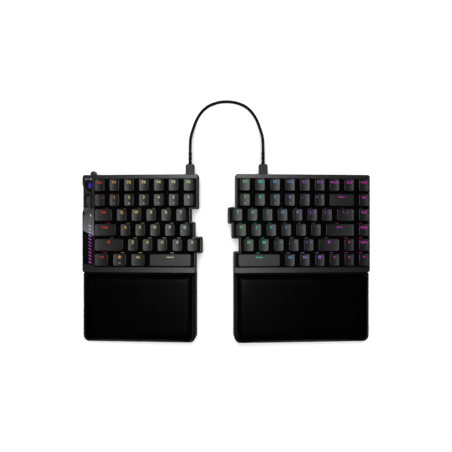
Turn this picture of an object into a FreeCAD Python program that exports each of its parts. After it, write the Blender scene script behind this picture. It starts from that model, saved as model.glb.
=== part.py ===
"""Split mechanical keyboard: two tented halves joined by a bridge cable, each with a wrist rest.

Millimetres. +X is to the user's right, +Y away from the user, +Z up, the desk is z = 0.
Each half is drawn flat in its own frame and then tented about Y, so that its inner edge is raised:
x = 0 is the outer end of the key grid, y = 0 the front of the key grid, z = 0 the underside of the
case. Going inwards is +x on the left half and -x on the right half.
"""
import FreeCAD, Part
import math
import os
import re

import PartDesign
import Sketcher

V = FreeCAD.Vector
X_AXIS, Y_AXIS, Z_AXIS = V(1, 0, 0), V(0, 1, 0), V(0, 0, 1)

doc = FreeCAD.newDocument("SplitKeyboard")
sheet = doc.addObject("Spreadsheet::Sheet", "Dimensions")

# Driving dimensions
DIMENSIONS = [
    ("case_span", 372.8, "outer side of the left case to outer side of the right case"),
    ("tent_angle", 4.0, "degrees that each half leans outwards"),
    ("outer_rise", 3.0, "desk to the case underside at the outer end of the key grid"),
    ("key_pitch", 19.05, "key to key, along a row and row to row"),
    ("modifier_units", 1.24, "width of a bottom row modifier, in key pitches"),
    ("space_units", 3.12, "width of a space bar, in key pitches"),
    ("strip_width", 16.2, "control strip outside the left key grid"),
    ("wheel_recess", 1.2, "hollow in the outer side beside the wheel"),
    ("outer_border", 1.5, "case outside the right key grid"),
    ("tab_border", 1.05, "case outside the last key of each row, inner side"),
    ("rear_border", 5.0, "case behind the key grid"),
    ("front_border", 7.0, "case in front of the key grid"),
    ("case_height", 17.0, "case underside to the top of the frame"),
    ("tray_height", 5.4, "case underside to the parting line"),
    ("floor_thickness", 2.0, "floor of the bottom tray"),
    ("well_gap", 0.45, "cap skirts to the wall of the key well"),
    ("corner_radius", 1.7, "corners of the tabs"),
    ("outer_radius", 3.4, "outer corners of the case"),
    ("edge_chamfer", 0.5, "bevel round the top of the frame"),
    ("plate_top", 12.0, "case underside to the top of the switch plate"),
    ("plate_thickness", 1.5, "switch plate"),
    ("plate_gap", 0.15, "switch plate and circuit board to the wall of the well"),
    ("board_top", 7.0, "case underside to the top of the circuit board"),
    ("board_thickness", 1.6, "circuit board"),
    ("rib_thickness", 1.6, "ribs under the circuit board"),
    ("screw_radius", 1.0, "shank of every screw"),
    ("screw_head_radius", 1.9, "head of every screw"),
    ("screw_head_height", 1.2, "head of every screw"),
    ("screw_gap", 0.05, "radial clearance of a screw in its hole"),
    ("case_screw_length", 9.0, "shank of a case screw"),
    ("cap_base", 18.1, "skirt of a one unit cap"),
    ("cap_top_width", 12.0, "top of a one unit cap, across"),
    ("cap_top_depth", 15.1, "top of every cap, front to rear"),
    ("cap_shift", 0.45, "top of a cap set back from the middle of its skirt"),
    ("cap_height", 7.5, "skirt to the rim of the top"),
    ("cap_wall", 1.3, "skirt wall"),
    ("cap_roof", 1.5, "top wall"),
    ("cap_corner", 1.3, "bevel of the cap's upper corners"),
    ("dish_depth", 0.4, "hollow of the top"),
    ("dish_slope", 3.6, "width of the hollow's sloping sides"),
    ("cap_lift", 6.2, "switch plate to the skirt, key up"),
    ("key_travel", 3.5, "stroke of every key"),
    ("slider_width", 5.4, "switch slider, across"),
    ("slider_depth", 3.8, "switch slider, front to rear"),
    ("slider_gap", 0.3, "switch slider in its housing, each side"),
    ("slider_reach", 5.2, "slider below the skirt"),
    ("slider_floor", 0.8, "slider end to the bottom of its bore, key down"),
    ("switch_body", 13.9, "switch housing in the plate"),
    ("plate_hole", 14.0, "square hole in the plate"),
    ("switch_flange", 15.0, "switch housing on the plate"),
    ("switch_crown", 10.8, "top of the switch housing"),
    ("switch_height", 6.6, "switch housing above the plate"),
    ("stabiliser_spread", 11.9, "middle of a wide cap to its stabiliser"),
    ("space_spread", 19.0, "middle of a space bar to its stabiliser"),
    ("stabiliser_width", 6.6, "stabiliser housing, across"),
    ("stabiliser_depth", 12.0, "stabiliser housing, front to rear"),
    ("stabiliser_front", 6.9, "middle of the cap to the front of the housing"),
    ("stabiliser_run", 9.3, "middle of the cap to the front of the wire"),
    ("stabiliser_height", 4.4, "stabiliser housing above the plate"),
    ("stabiliser_wire", 1.6, "stabiliser wire"),
    ("wheel_radius", 8.0, "control wheel"),
    ("wheel_width", 5.6, "control wheel"),
    ("wheel_proud", 2.2, "control wheel above the frame"),
    ("wheel_x", -7.8, "middle of the control wheel"),
    ("wheel_y", 84.9, "axle of the control wheel"),
    ("wheel_gap", 0.4, "control wheel to its slot, outer side"),
    ("wheel_bay", 1.9, "control wheel to its slot, inner side"),
    ("wheel_slot_length", 15.6, "slot of the control wheel"),
    ("axle_radius", 1.0, "axle of the control wheel"),
    ("axle_gap", 0.05, "radial running clearance of the axle"),
    ("ear_thickness", 1.3, "ear that holds the axle"),
    ("encoder_thickness", 2.4, "rotary encoder beside the wheel"),
    ("strip_wall", 2.8, "outer wall of the control strip"),
    ("strip_roof", 1.8, "roof of the control strip"),
    ("strip_web", 1.6, "web between the strip and the key well"),
    ("panel_thickness", 1.2, "inlaid panels of the strip"),
    ("panel_gap", 0.1, "panels in their recess"),
    ("bar_pitch", 4.287, "light bar to light bar"),
    ("bar_count", 12, "number of light bars"),
    ("first_bar_y", 53.26, "middle of the rear light bar"),
    ("bar_x", -6.05, "middle of the light bars"),
    ("bar_width", 3.9, "light bar, across"),
    ("bar_thickness", 1.3, "light bar, front to rear"),
    ("bar_drop", 2.3, "how far a light bar slants forward"),
    ("bar_gap", 0.1, "light bar in its slot"),
    ("guide_thickness", 1.4, "light guide under the bars"),
    ("status_width", 1.8, "status light, across"),
    ("status_length", 3.2, "status light, front to rear"),
    ("corner_light", 3.6, "middle of the eight-sided light to its corners"),
    ("lever_x", -3.1, "middle of the mode lever"),
    ("lever_width", 7.4, "mode lever"),
    ("lever_height", 5.0, "mode lever"),
    ("lever_proud", 5.3, "mode lever behind the case"),
    ("lever_z", 10.6, "middle of the mode lever"),
    ("lever_neck", 3.6, "neck of the lever in the rear wall, across"),
    ("lever_travel", 1.5, "mode lever, each way"),
    ("lever_gap", 0.2, "neck in its slot"),
    ("battery_length", 62.0, "battery cell"),
    ("battery_width", 9.4, "battery cell"),
    ("battery_height", 8.0, "battery cell"),
    ("port_width", 8.94, "socket shell"),
    ("port_height", 3.26, "socket shell"),
    ("port_depth", 7.2, "socket shell"),
    ("port_wall", 0.3, "socket shell"),
    ("port_floor", 0.8, "rear wall of a socket"),
    ("port_gap", 0.15, "socket in the case wall"),
    ("port_setback", 0.25, "socket mouth inside the rear face"),
    ("left_port_x", 123.7, "link socket of the left half"),
    ("right_port_x", 136.75, "link socket of the right half, inwards"),
    ("host_port_x", 26.0, "host socket of the left half"),
    ("nose_gap", 0.12, "plug nose in the socket"),
    ("plug_width", 11.4, "moulded plug body"),
    ("plug_gap", 0.3, "rear face of the case to the plug body"),
    ("plug_nose", 6.5, "plug nose"),
    ("plug_height", 6.5, "moulded plug body"),
    ("plug_length", 13.3, "moulded plug body"),
    ("plug_radius", 2.4, "shoulders of the plug body"),
    ("relief_radius", 2.45, "strain relief"),
    ("relief_length", 15.3, "strain relief"),
    ("cable_radius", 1.95, "bridge cable"),
    ("foot_lean", 4.0, "degrees that a tilt foot leans inwards"),
    ("foot_thickness", 2.2, "tilt foot"),
    ("foot_width", 60.0, "tilt foot, front to rear"),
    ("foot_setback", 20.0, "tilt foot axis outside the edge of the bottom row"),
    ("foot_axis_z", 1.25, "tilt foot axis above the underside"),
    ("foot_pin_radius", 0.75, "stub pins of a tilt foot"),
    ("foot_pin_gap", 0.05, "radial running clearance of the stub pins"),
    ("foot_gap", 0.3, "tilt foot in its recess"),
    ("foot_recess_depth", 2.5, "recess of a tilt foot"),
    ("foot_roof", 1.5, "roof over the recess of a tilt foot"),
    ("pad_length", 30.0, "rubber foot"),
    ("pad_width", 8.0, "rubber foot"),
    ("rest_depth", 90.7, "wrist rest, front to rear"),
    ("rest_gap", 0.5, "case to wrist rest"),
    ("rest_overhang", 2.2, "wrist rest beyond the outer side of the case"),
    ("rest_inset", 1.3, "inner end of a wrist rest short of the case"),
    ("rest_base_top", 6.5, "top of the hard base, above the case underside"),
    ("rest_pad_height", 10.5, "soft pad"),
    ("rest_radius", 8.0, "front corners of the wrist rest"),
]
for row, (alias, size, note) in enumerate(DIMENSIONS, 1):
    sheet.set(f"A{row}", note)
    sheet.set(f"B{row}", str(size))
    sheet.setAlias(f"B{row}", alias)
doc.recompute()
ALIASES = {alias for alias, size, note in DIMENSIONS}


def bound(expression):
    """The expression with each size's name made to point at its cell."""
    return re.sub(r"[a-z][a-z_]+", lambda m: "Dimensions." + m[0] if m[0] in ALIASES else m[0],
                  str(expression))


def size(expression):
    """The value of an expression of sizes."""
    return float(sheet.evalExpression(bound(expression)))


# Keys, from the outer end of each row inwards: (node, widths in key pitches)
MODIFIER, SPACE = size("modifier_units"), size("space_units")
ROWS = {
    "left": [
        [("escape_key", [1]), ("left_function_keys", [1] * 6)],
        [("left_number_keys", [1] * 7)],
        [("tab_key", [1.5]), ("left_upper_keys", [1] * 5)],
        [("caps_key", [1.75]), ("left_home_keys", [1] * 5)],
        [("left_shift_key", [2.25]), ("left_lower_keys", [1] * 5)],
        [("left_modifier_keys", [MODIFIER] * 3), ("left_space_key", [SPACE])],
    ],
    "right": [
        [("right_function_keys", [1] * 9)],
        [("navigation_keys", [1]), ("backspace_key", [2]), ("right_number_keys", [1] * 6)],
        [("navigation_keys", [1]), ("backslash_key", [1.5]), ("right_upper_keys", [1] * 7)],
        [("navigation_keys", [1]), ("enter_key", [2.25]), ("right_home_keys", [1] * 6)],
        [("navigation_keys", [1]), ("arrow_keys", [1]), ("right_shift_key", [1.75]),
         ("right_lower_keys", [1] * 5)],
        [("arrow_keys", [1] * 3), ("right_modifier_keys", [1] * 3), ("right_space_key", [SPACE])],
    ],
}
ROW_COUNT = 6
STABILISED = {"left_shift_key": "stabiliser_spread", "left_space_key": "space_spread",
              "backspace_key": "stabiliser_spread", "enter_key": "stabiliser_spread",
              "right_space_key": "space_spread"}
# Expressions for the inner end of each row, rear row first, in key pitches
ROW_UNITS = {
    "left": ["7", "7", "6.5", "6.75", "7.25", "3 * modifier_units + space_units"],
    "right": ["9", "9", "9.5", "9.25", "8.75", "6 + space_units"],
}
INWARD = {"left": 1, "right": -1}
WELL = "(key_pitch - cap_base) / 2 - well_gap"
OUTER = {"left": "strip_width", "right": "outer_border"}

pitch = size("key_pitch")
tent = math.radians(size("tent_angle"))
grid_depth = ROW_COUNT * pitch
case_front = -size("front_border")
case_rear = grid_depth + size("rear_border")
rest_front = case_front - size("rest_gap") - size("rest_depth")

# Where each half stands: the whole part is centred on the origin, seen from above
outer_end = {
    side: size("case_span") / 2 - size(OUTER[side]) * math.cos(tent)
    - size("case_height") * math.sin(tent)
    for side in INWARD
}
grid_front = -(case_rear + size("lever_proud") + rest_front) / 2
HALF = {
    side: FreeCAD.Placement(
        V(-inward * outer_end[side], grid_front, size("outer_rise")),
        FreeCAD.Rotation(Y_AXIS, -inward * size("tent_angle")),
    )
    for side, inward in INWARD.items()
}
NODES = {}


def keep(thing, label, placement):
    """Name a finished sub-part and put it where it belongs."""
    thing.Label = label
    thing.Placement = placement
    NODES[label] = thing
    return thing


def desk(x, side):
    """Expression for the desk's height in a half's frame, x inwards."""
    return f"-(outer_rise + ({x}) * sin(tent_angle)) / cos(tent_angle)"


# Sketches and features
def sketch_on(body, role, loops, offset="0"):
    """A sketch of closed outlines, every corner bound to expressions of the sizes."""
    sketch = body.newObject("Sketcher::SketchObject", "Outline")
    plane = next(part for part in body.Origin.OriginFeatures if part.Role == role)
    sketch.AttachmentSupport = (plane, [""])
    sketch.MapMode = "FlatFace"
    sketch.setExpression("AttachmentOffset.Base.z", bound(offset))
    for loop in loops:
        first = sketch.GeometryCount
        corners = [V(size(x), size(y), 0) for x, y in loop]
        count = len(loop)
        for i in range(count):
            sketch.addGeometry(Part.LineSegment(corners[i], corners[(i + 1) % count]), False)
        for i in range(count):
            sketch.addConstraint(Sketcher.Constraint("Coincident", first + i, 2,
                                                     first + (i + 1) % count, 1))
        for i, (x, y) in enumerate(loop):
            for kind, value, expression in (("DistanceX", corners[i].x, x),
                                            ("DistanceY", corners[i].y, y)):
                index = sketch.addConstraint(
                    Sketcher.Constraint(kind, -1, 1, first + i, 1, value))
                sketch.setExpression(f"Constraints[{index}]", bound(expression))
    return sketch


def circles_on(body, role, centres, radius, offset="0"):
    """A sketch of circles of one radius, every centre bound to expressions of the sizes."""
    sketch = sketch_on(body, role, [], offset)
    for i, (x, y) in enumerate(centres):
        middle = V(size(x), size(y), 0)
        sketch.addGeometry(Part.Circle(middle, Z_AXIS, size(radius)), False)
        for kind, value, expression in (("DistanceX", middle.x, x), ("DistanceY", middle.y, y)):
            index = sketch.addConstraint(Sketcher.Constraint(kind, -1, 1, i, 3, value))
            sketch.setExpression(f"Constraints[{index}]", bound(expression))
        index = sketch.addConstraint(Sketcher.Constraint("Radius", i, size(radius)))
        sketch.setExpression(f"Constraints[{index}]", bound(radius))
    return sketch


def feature(body, kind, profile, length):
    made = body.newObject(f"PartDesign::{kind}", kind)
    made.Profile = profile
    made.setExpression("Length", bound(length))
    profile.Visibility = False
    return made


def pad(body, loops, bottom, top, role="XY_Plane"):
    """Material from bottom to top, along the plane's normal."""
    return feature(body, "Pad", sketch_on(body, role, loops, bottom), f"({top}) - ({bottom})")


def pocket(body, loops, bottom, top, role="XY_Plane"):
    """A cut from top down to bottom."""
    return feature(body, "Pocket", sketch_on(body, role, loops, top), f"({top}) - ({bottom})")


def round_pad(body, centres, radius, bottom, top, role="XY_Plane"):
    return feature(body, "Pad", circles_on(body, role, centres, radius, bottom),
                   f"({top}) - ({bottom})")


def round_pocket(body, centres, radius, bottom, top, role="XY_Plane"):
    return feature(body, "Pocket", circles_on(body, role, centres, radius, top),
                   f"({top}) - ({bottom})")


def dress(body, kind, edges, amount):
    """A fillet or chamfer of the body's present shape, on the edges that a test picks."""
    doc.recompute()
    base = body.Tip
    names = [f"Edge{i}" for i, edge in enumerate(base.Shape.Edges, 1) if edges(edge)]
    made = body.newObject(f"PartDesign::{kind}", kind)
    made.Base = (base, names)
    made.setExpression("Radius" if kind == "Fillet" else "Size", bound(amount))
    return made


def upright(test):
    """Picks straight edges along Z whose place passes the test."""
    def picks(edge):
        start, end = edge.Vertexes[0].Point, edge.Vertexes[-1].Point
        flat = math.hypot(start.x - end.x, start.y - end.y)
        return flat < 1e-6 < abs(start.z - end.z) and test(start.x, start.y)
    return picks


def rectangle(x_low, y_low, x_high, y_high):
    return [(x_low, y_low), (x_high, y_low), (x_high, y_high), (x_low, y_high)]


def octagon(x, y, across):
    """Eight corners round a point, so that small repeated round things stay light."""
    angles = [22.5 + 45 * i for i in range(8)]
    return [(f"{x} + ({across}) * cos({a})", f"{y} + ({across}) * sin({a})") for a in angles]


def inward(x, side):
    """An expression for x measured inwards, in the half's own frame."""
    return str(x) if side == "left" else f"-({x})"


def stepped(side, offset, outer, front, rear, recess=None):
    """Outline of the staggered rows, set out from the rows by offset on the inner side."""
    units = ROW_UNITS[side]
    points = [(f"-({outer})", f"-({front})")]
    points.append((f"({units[5]}) * key_pitch + {offset}", f"-({front})"))
    for i in range(ROW_COUNT - 1, 0, -1):
        if units[i - 1] == units[i]:
            continue
        wider_behind = size(units[i - 1]) > size(units[i])
        boundary = f"{ROW_COUNT - i} * key_pitch {'-' if wider_behind else '+'} ({offset})"
        points.append((f"({units[i]}) * key_pitch + {offset}", boundary))
        points.append((f"({units[i - 1]}) * key_pitch + {offset}", boundary))
    behind = f"{ROW_COUNT} * key_pitch + {rear}"
    points.append((f"({units[0]}) * key_pitch + {offset}", behind))
    points.append((f"-({outer})", behind))
    if recess:
        middle = "wheel_y + 4"
        reach = "wheel_slot_length"
        points += [
            (f"-({outer})", f"{middle} + {reach} + 3"),
            (f"-({outer}) + {recess}", f"{middle} + {reach} - 1.5"),
            (f"-({outer}) + {recess}", f"{middle} - {reach} + 1.5"),
            (f"-({outer})", f"{middle} - {reach} - 3"),
        ]
    return [(inward(x, side), y) for x, y in points]


def case_outline(side):
    return stepped(side, "tab_border", OUTER[side], "front_border", "rear_border",
                   "wheel_recess" if side == "left" else None)


def well_outline(side, gap):
    """The key well, less a gap all round."""
    inset = f"{WELL} + {gap}"
    return stepped(side, f"-({inset})", f"-({inset})", f"-({inset})", f"-({inset})")


def key_cells(side):
    """Middle of each key and its width in pitches: (node, x, y, units)."""
    cells = []
    for i, row in enumerate(ROWS[side]):
        y = (ROW_COUNT - i - 0.5) * pitch
        reached = 0
        for node, widths in row:
            for units in widths:
                cells.append((node, INWARD[side] * (reached + units / 2) * pitch, y, units))
                reached += units
    return cells


# Screws: (x inwards, y) expressions
CASE_SCREWS = {
    "left": [("1.5 * key_pitch", "-front_border / 2"), ("5.5 * key_pitch", "-front_border / 2"),
             ("2.6 * key_pitch", "6 * key_pitch + rear_border / 2"),
             ("5.5 * key_pitch", "6 * key_pitch + rear_border / 2")],
    "right": [("0.5 * key_pitch", "-front_border / 2"), ("7.5 * key_pitch", "-front_border / 2"),
              ("0.5 * key_pitch", "6 * key_pitch + rear_border / 2"),
              ("8 * key_pitch", "6 * key_pitch + rear_border / 2")],
}
# Ribs under the circuit board: the row boundary that each runs along, and its ends in key pitches
BOARD_RIBS = {
    "left": [(0.6, 0.3, 5), (3, 0.3, 6.4), (5.6, 0.3, 6.6)],
    "right": [(0.6, 0.3, 7.3), (3, 0.3, 8.4), (5.6, 0.3, 8.6)],
}
# Tilt foot under the inner part of each half
FOOT_Y = "3 * key_pitch"
FOOT_X = {side: f"({ROW_UNITS[side][5]}) * key_pitch + tab_border - foot_setback"
          for side in INWARD}
PORTS = {"left": ["left_port_x", "host_port_x"], "right": ["right_port_x"]}
FOOT_DROP = {}
for side in INWARD:
    rise = f"outer_rise + ({FOOT_X[side]}) * sin(tent_angle) + foot_axis_z * cos(tent_angle)"
    FOOT_DROP[side] = f"({rise}) / cos(tent_angle + foot_lean)"


def places(points, side):
    return [(inward(x, side), y) for x, y in points]


# Control strip of the left half
WHEEL_Z = "case_height + wheel_proud - wheel_radius"
STRIP_X = ("-strip_width + strip_wall", "-strip_web")
GUIDE_TOP = "case_height - strip_roof"
PANEL_X = ("-strip_width + 1.2", "-0.8")
LIGHT_END = "first_bar_y - (bar_count - 1) * bar_pitch"
SPLIT_Y = "first_bar_y - 2.5 * bar_pitch"
STATUS_Y = "first_bar_y + 13.6"
CORNER_Y = "6 * key_pitch - 8.7"


def side_panel_outline(gap):
    low, high = PANEL_X
    return [(f"{low} + {gap}", f"{SPLIT_Y} + 4.5 + {gap}"), (f"{high} - {gap}", f"{SPLIT_Y} - 2.6 + {gap}"),
            (f"{high} - {gap}", f"wheel_y - 9.2 - {gap}"), (f"-5.3 - {gap}", f"wheel_y - 9.2 - {gap}"),
            (f"{low} + {gap}", f"wheel_y - 18.9 - {gap}")]


def gloss_panel_outline(gap):
    low, high = PANEL_X
    return [(f"{low} + {gap}", f"{LIGHT_END} - 2 + {gap}"), (f"{high} - {gap}", f"{LIGHT_END} - 4.5 + {gap}"),
            (f"{high} - {gap}", f"{SPLIT_Y} - 2.6 - {gap}"), (f"{low} + {gap}", f"{SPLIT_Y} + 4.5 - {gap}")]


def status_outline(gap):
    """Narrow eight-sided outline of the status light."""
    x, y, cut = "bar_x + 1.25", STATUS_Y, "status_width / 4"
    half_x, half_y = f"(status_width / 2 + {gap})", f"(status_length / 2 + {gap})"
    corners = []
    for sx, sy in (("-", "-"), ("+", "-"), ("+", "+"), ("-", "+")):
        inner_x, inner_y = f"{x} {sx} ({half_x} - {cut})", f"{y} {sy} ({half_y} - {cut})"
        pair = [(f"{x} {sx} {half_x}", inner_y), (inner_x, f"{y} {sy} {half_y}")]
        corners += pair if sx == sy else pair[::-1]
    return corners


def light_bar(number, gap):
    """Slanted outline of one light bar, counted from the rear."""
    y = f"first_bar_y - {number} * bar_pitch"
    left, right = f"bar_x - bar_width / 2 - {gap}", f"bar_x + bar_width / 2 + {gap}"
    half = f"(bar_thickness / 2 + {gap})"
    return [(left, f"{y} + bar_drop / 2 - {half}"), (right, f"{y} - bar_drop / 2 - {half}"),
            (right, f"{y} - bar_drop / 2 + {half}"), (left, f"{y} + bar_drop / 2 + {half}")]


def case_corner(side, rear):
    """Picks the outer vertical corners of a case shell, at the rear or the front."""
    outer = -INWARD[side] * size(OUTER[side])
    y_corner = case_rear if rear else case_front
    return upright(lambda x, y: abs(x - outer) < 0.01 and abs(y - y_corner) < 0.01)


def tab_corners(side):
    """Picks the outward vertical corners on the stepped inner side of a case shell."""
    units = [size(width) for width in ROW_UNITS[side]]
    corners = [(units[0], case_rear), (units[-1], case_front)]
    border = size("tab_border")
    for i in range(1, ROW_COUNT):
        boundary = (ROW_COUNT - i) * pitch
        wider_behind = units[i - 1] > units[i]
        corners.append((max(units[i - 1], units[i]), boundary + (-border if wider_behind else border)))
    spots = [(INWARD[side] * (width * pitch + border), y) for width, y in corners]
    return upright(lambda x, y: min(math.hypot(x - a, y - b) for a, b in spots) < 0.01)


def case_shell(side, bottom, top):
    shell = doc.addObject("PartDesign::Body", "Shell")
    pad(shell, [case_outline(side)], bottom, top)
    dress(shell, "Fillet", tab_corners(side), "corner_radius")
    dress(shell, "Fillet", case_corner(side, True), "outer_radius")
    dress(shell, "Fillet", case_corner(side, False), "outer_radius")
    return shell


def port_openings(body, side, bottom):
    """Slots in the rear wall for the sockets, which lie on the circuit board."""
    for x in PORTS[side]:
        middle = inward(x, side)
        slot = rectangle(f"{middle} - port_width / 2 - port_gap",
                         "6 * key_pitch + rear_border - port_depth - 1",
                         f"{middle} + port_width / 2 + port_gap", "6 * key_pitch + rear_border + 1")
        pocket(body, [slot], f"board_top - {bottom}", "board_top + port_height + port_gap")


def top_frame(side):
    """Upper shell: key well, control strip and the openings in its rear wall."""
    frame = case_shell(side, "tray_height", "case_height")
    top = size("case_height")
    dress(frame, "Chamfer", lambda edge: min(v.Z for v in edge.Vertexes) > top - 1e-6,
          "edge_chamfer")
    pocket(frame, [well_outline(side, "0")], "tray_height - 1", "case_height + 1")
    port_openings(frame, side, "port_gap")
    screws = places(CASE_SCREWS[side], side)
    pocket(frame, [octagon(x, y, "screw_radius + screw_gap") for x, y in screws],
           "tray_height - 1", "case_screw_length + screw_head_height + 0.5")
    if side == "left":
        low, high = STRIP_X
        pocket(frame, [rectangle(low, "-1.5", high, "6 * key_pitch - 1.3")],
               "tray_height - 1", GUIDE_TOP)
        pocket(frame, [rectangle("wheel_x - wheel_width / 2 - wheel_gap",
                                 "wheel_y - wheel_slot_length / 2",
                                 "wheel_x + wheel_width / 2 + wheel_bay",
                                 "wheel_y + wheel_slot_length / 2")],
               f"{GUIDE_TOP} - 1", "case_height + 1")
        for outline in (side_panel_outline, gloss_panel_outline):
            pocket(frame, [outline("0")], "case_height - panel_thickness", "case_height + 1")
        window = rectangle("bar_x - bar_width / 2 - 0.6", f"{LIGHT_END} - 3",
                           "bar_x + bar_width / 2 + 0.6", "first_bar_y + 3")
        pocket(frame, [window], f"{GUIDE_TOP} - 1", "case_height")
        pocket(frame, [status_outline("bar_gap")], f"{GUIDE_TOP} - 1", "case_height")
        pocket(frame, [octagon("bar_x", CORNER_Y, "corner_light + bar_gap")], f"{GUIDE_TOP} - 1",
               "case_height + 1")
        slot = rectangle("lever_x - lever_neck / 2 - lever_travel - lever_gap",
                         "6 * key_pitch - 2",
                         "lever_x + lever_neck / 2 + lever_travel + lever_gap",
                         "6 * key_pitch + rear_border + 1")
        pocket(frame, [slot], "lever_z - lever_height / 2 + 1 - lever_gap",
               "lever_z + lever_height / 2 - 1 + lever_gap")
    return keep(frame, f"{side}_top_frame", HALF[side])


def bottom_case(side):
    """Lower tray: floor, walls, ribs, recesses of the tilt feet and holes of the screws."""
    tray = case_shell(side, "0", "tray_height")
    pocket(tray, [well_outline(side, "0")], "floor_thickness", "tray_height + 1")
    if side == "left":
        low, high = STRIP_X
        pocket(tray, [rectangle(low, "-1.5", high, "6 * key_pitch - 1.3")],
               "floor_thickness", "tray_height + 1")
        ear = rectangle("wheel_x - wheel_width / 2 - 0.6 - ear_thickness", "wheel_y - 3.2",
                        "wheel_x - wheel_width / 2 - 0.6", "wheel_y + 3.2")
        pad(tray, [ear], "floor_thickness - 0.5", f"{WHEEL_Z} + 3")
        round_pocket(tray, [("wheel_y", WHEEL_Z)], "axle_radius + axle_gap",
                     "wheel_x - wheel_width / 2 - 1.6 - ear_thickness",
                     "wheel_x - wheel_width / 2", role="YZ_Plane")
    for row, start, end in BOARD_RIBS[side]:
        rib = rectangle(f"{start} * key_pitch", f"{row} * key_pitch - rib_thickness / 2",
                        f"{end} * key_pitch", f"{row} * key_pitch + rib_thickness / 2")
        pad(tray, [places(rib, side)], "floor_thickness - 0.5", "board_top - board_thickness")
    low = f"{FOOT_X[side]} - ({FOOT_DROP[side]}) - 2 * foot_gap"
    high = f"{FOOT_X[side]} + foot_thickness / 2 + 2 * foot_gap"
    reach = "(foot_width / 2 + foot_gap)"
    island = rectangle(f"{low} - 1.5", f"{FOOT_Y} - {reach} - 1.5", f"{high} + 1.5",
                       f"{FOOT_Y} + {reach} + 1.5")
    pad(tray, [places(island, side)], "floor_thickness - 0.5", "foot_recess_depth + foot_roof")
    recess = rectangle(low, f"{FOOT_Y} - {reach}", high, f"{FOOT_Y} + {reach}")
    pocket(tray, [places(recess, side)], "-1", "foot_recess_depth")
    bore = circles_on(tray, "XZ_Plane", [(inward(FOOT_X[side], side), "foot_axis_z")],
                      "foot_pin_radius + foot_pin_gap", f"-({FOOT_Y}) - {reach} - 1.1")
    hole = feature(tray, "Pocket", bore, f"2 * {reach} + 2.2")
    hole.Reversed = True
    screws = places(CASE_SCREWS[side], side)
    pocket(tray, [octagon(x, y, "screw_radius + screw_gap") for x, y in screws],
           "-1", "tray_height + 1")
    pocket(tray, [octagon(x, y, "screw_head_radius + screw_gap") for x, y in screws],
           "-1", "screw_head_height")
    return keep(tray, f"{side}_bottom_case", HALF[side])


def copies(shape, spots):
    """One compound of the same piece at each spot."""
    made = []
    for spot in spots:
        piece = shape.copy()
        piece.translate(spot)
        made.append(piece)
    return Part.makeCompound(made)


def holed(side, body, holes, label):
    """A sheet with its holes cut through it."""
    tool = doc.addObject("Part::Feature", "Holes")
    tool.Shape = holes
    cut = doc.addObject("Part::Cut", "Holed")
    cut.Base, cut.Tool = body, tool
    return keep(cut, label, HALF[side])


def switch_plate(side):
    """Steel plate that the switches clip into."""
    sheet_body = doc.addObject("PartDesign::Body", "Plate")
    pad(sheet_body, [well_outline(side, "plate_gap")], "plate_top - plate_thickness", "plate_top")
    hole, depth = size("plate_hole"), size("plate_thickness") + 2
    square = Part.makeBox(hole, hole, depth, V(-hole / 2, -hole / 2, size("plate_top") - depth + 1))
    spots = [V(x, y, 0) for node, x, y, units in key_cells(side)]
    return holed(side, sheet_body, copies(square, spots), f"{side}_switch_plate")


def circuit_board(side):
    board = doc.addObject("PartDesign::Body", "Board")
    pad(board, [well_outline(side, "plate_gap")], "board_top - board_thickness", "board_top")
    return keep(board, f"{side}_circuit_board", HALF[side])


def corners_at(width, depth, z, y=0.0, corner=0.0):
    """Corners of a rectangle round the Z axis, two at each corner, as far apart as the bevel."""
    a, b = width / 2, depth / 2
    points = [(-a + corner, -b), (a - corner, -b), (a, -b + corner), (a, b - corner),
              (a - corner, b), (-a + corner, b), (-a, b - corner), (-a, -b + corner)]
    return [V(px, py + y, z) for px, py in points]


def flat_face(points):
    """A face on points in order, of which neighbours may be the same."""
    kept = [point for i, point in enumerate(points) if point.distanceToPoint(points[i - 1]) > 1e-6]
    return Part.Face(Part.makePolygon(kept + kept[:1])) if len(kept) > 2 else None


def frustum(lower, upper):
    """A solid between two outlines with as many corners each, all of its faces flat."""
    sides = [[lower[i - 1], lower[i], upper[i], upper[i - 1]] for i in range(len(lower))]
    faces = [flat_face(outline) for outline in [lower, upper] + sides]
    solid = Part.Solid(Part.Shell([face for face in faces if face]))
    if solid.Volume < 0:
        solid.reverse()
    return solid


def switch_shape():
    """Housing of one key switch, with the bore that its slider runs in."""
    body, flange, crown = size("switch_body"), size("switch_flange"), size("switch_crown")
    plate, base = size("plate_top"), size("board_top")
    top = plate + size("switch_height")
    lower = Part.makeBox(body, body, plate - base, V(-body / 2, -body / 2, base))
    upper = frustum(corners_at(flange, flange, plate), corners_at(crown, crown, top))
    bore_width = size("slider_width + 2 * slider_gap")
    bore_depth = size("slider_depth + 2 * slider_gap")
    bottom = size("plate_top + cap_lift - slider_reach - key_travel - slider_floor")
    bore = Part.makeBox(bore_width, bore_depth, top - bottom + 1,
                        V(-bore_width / 2, -bore_depth / 2, bottom))
    return lower.fuse(upper).removeSplitter().cut(bore)


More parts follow.
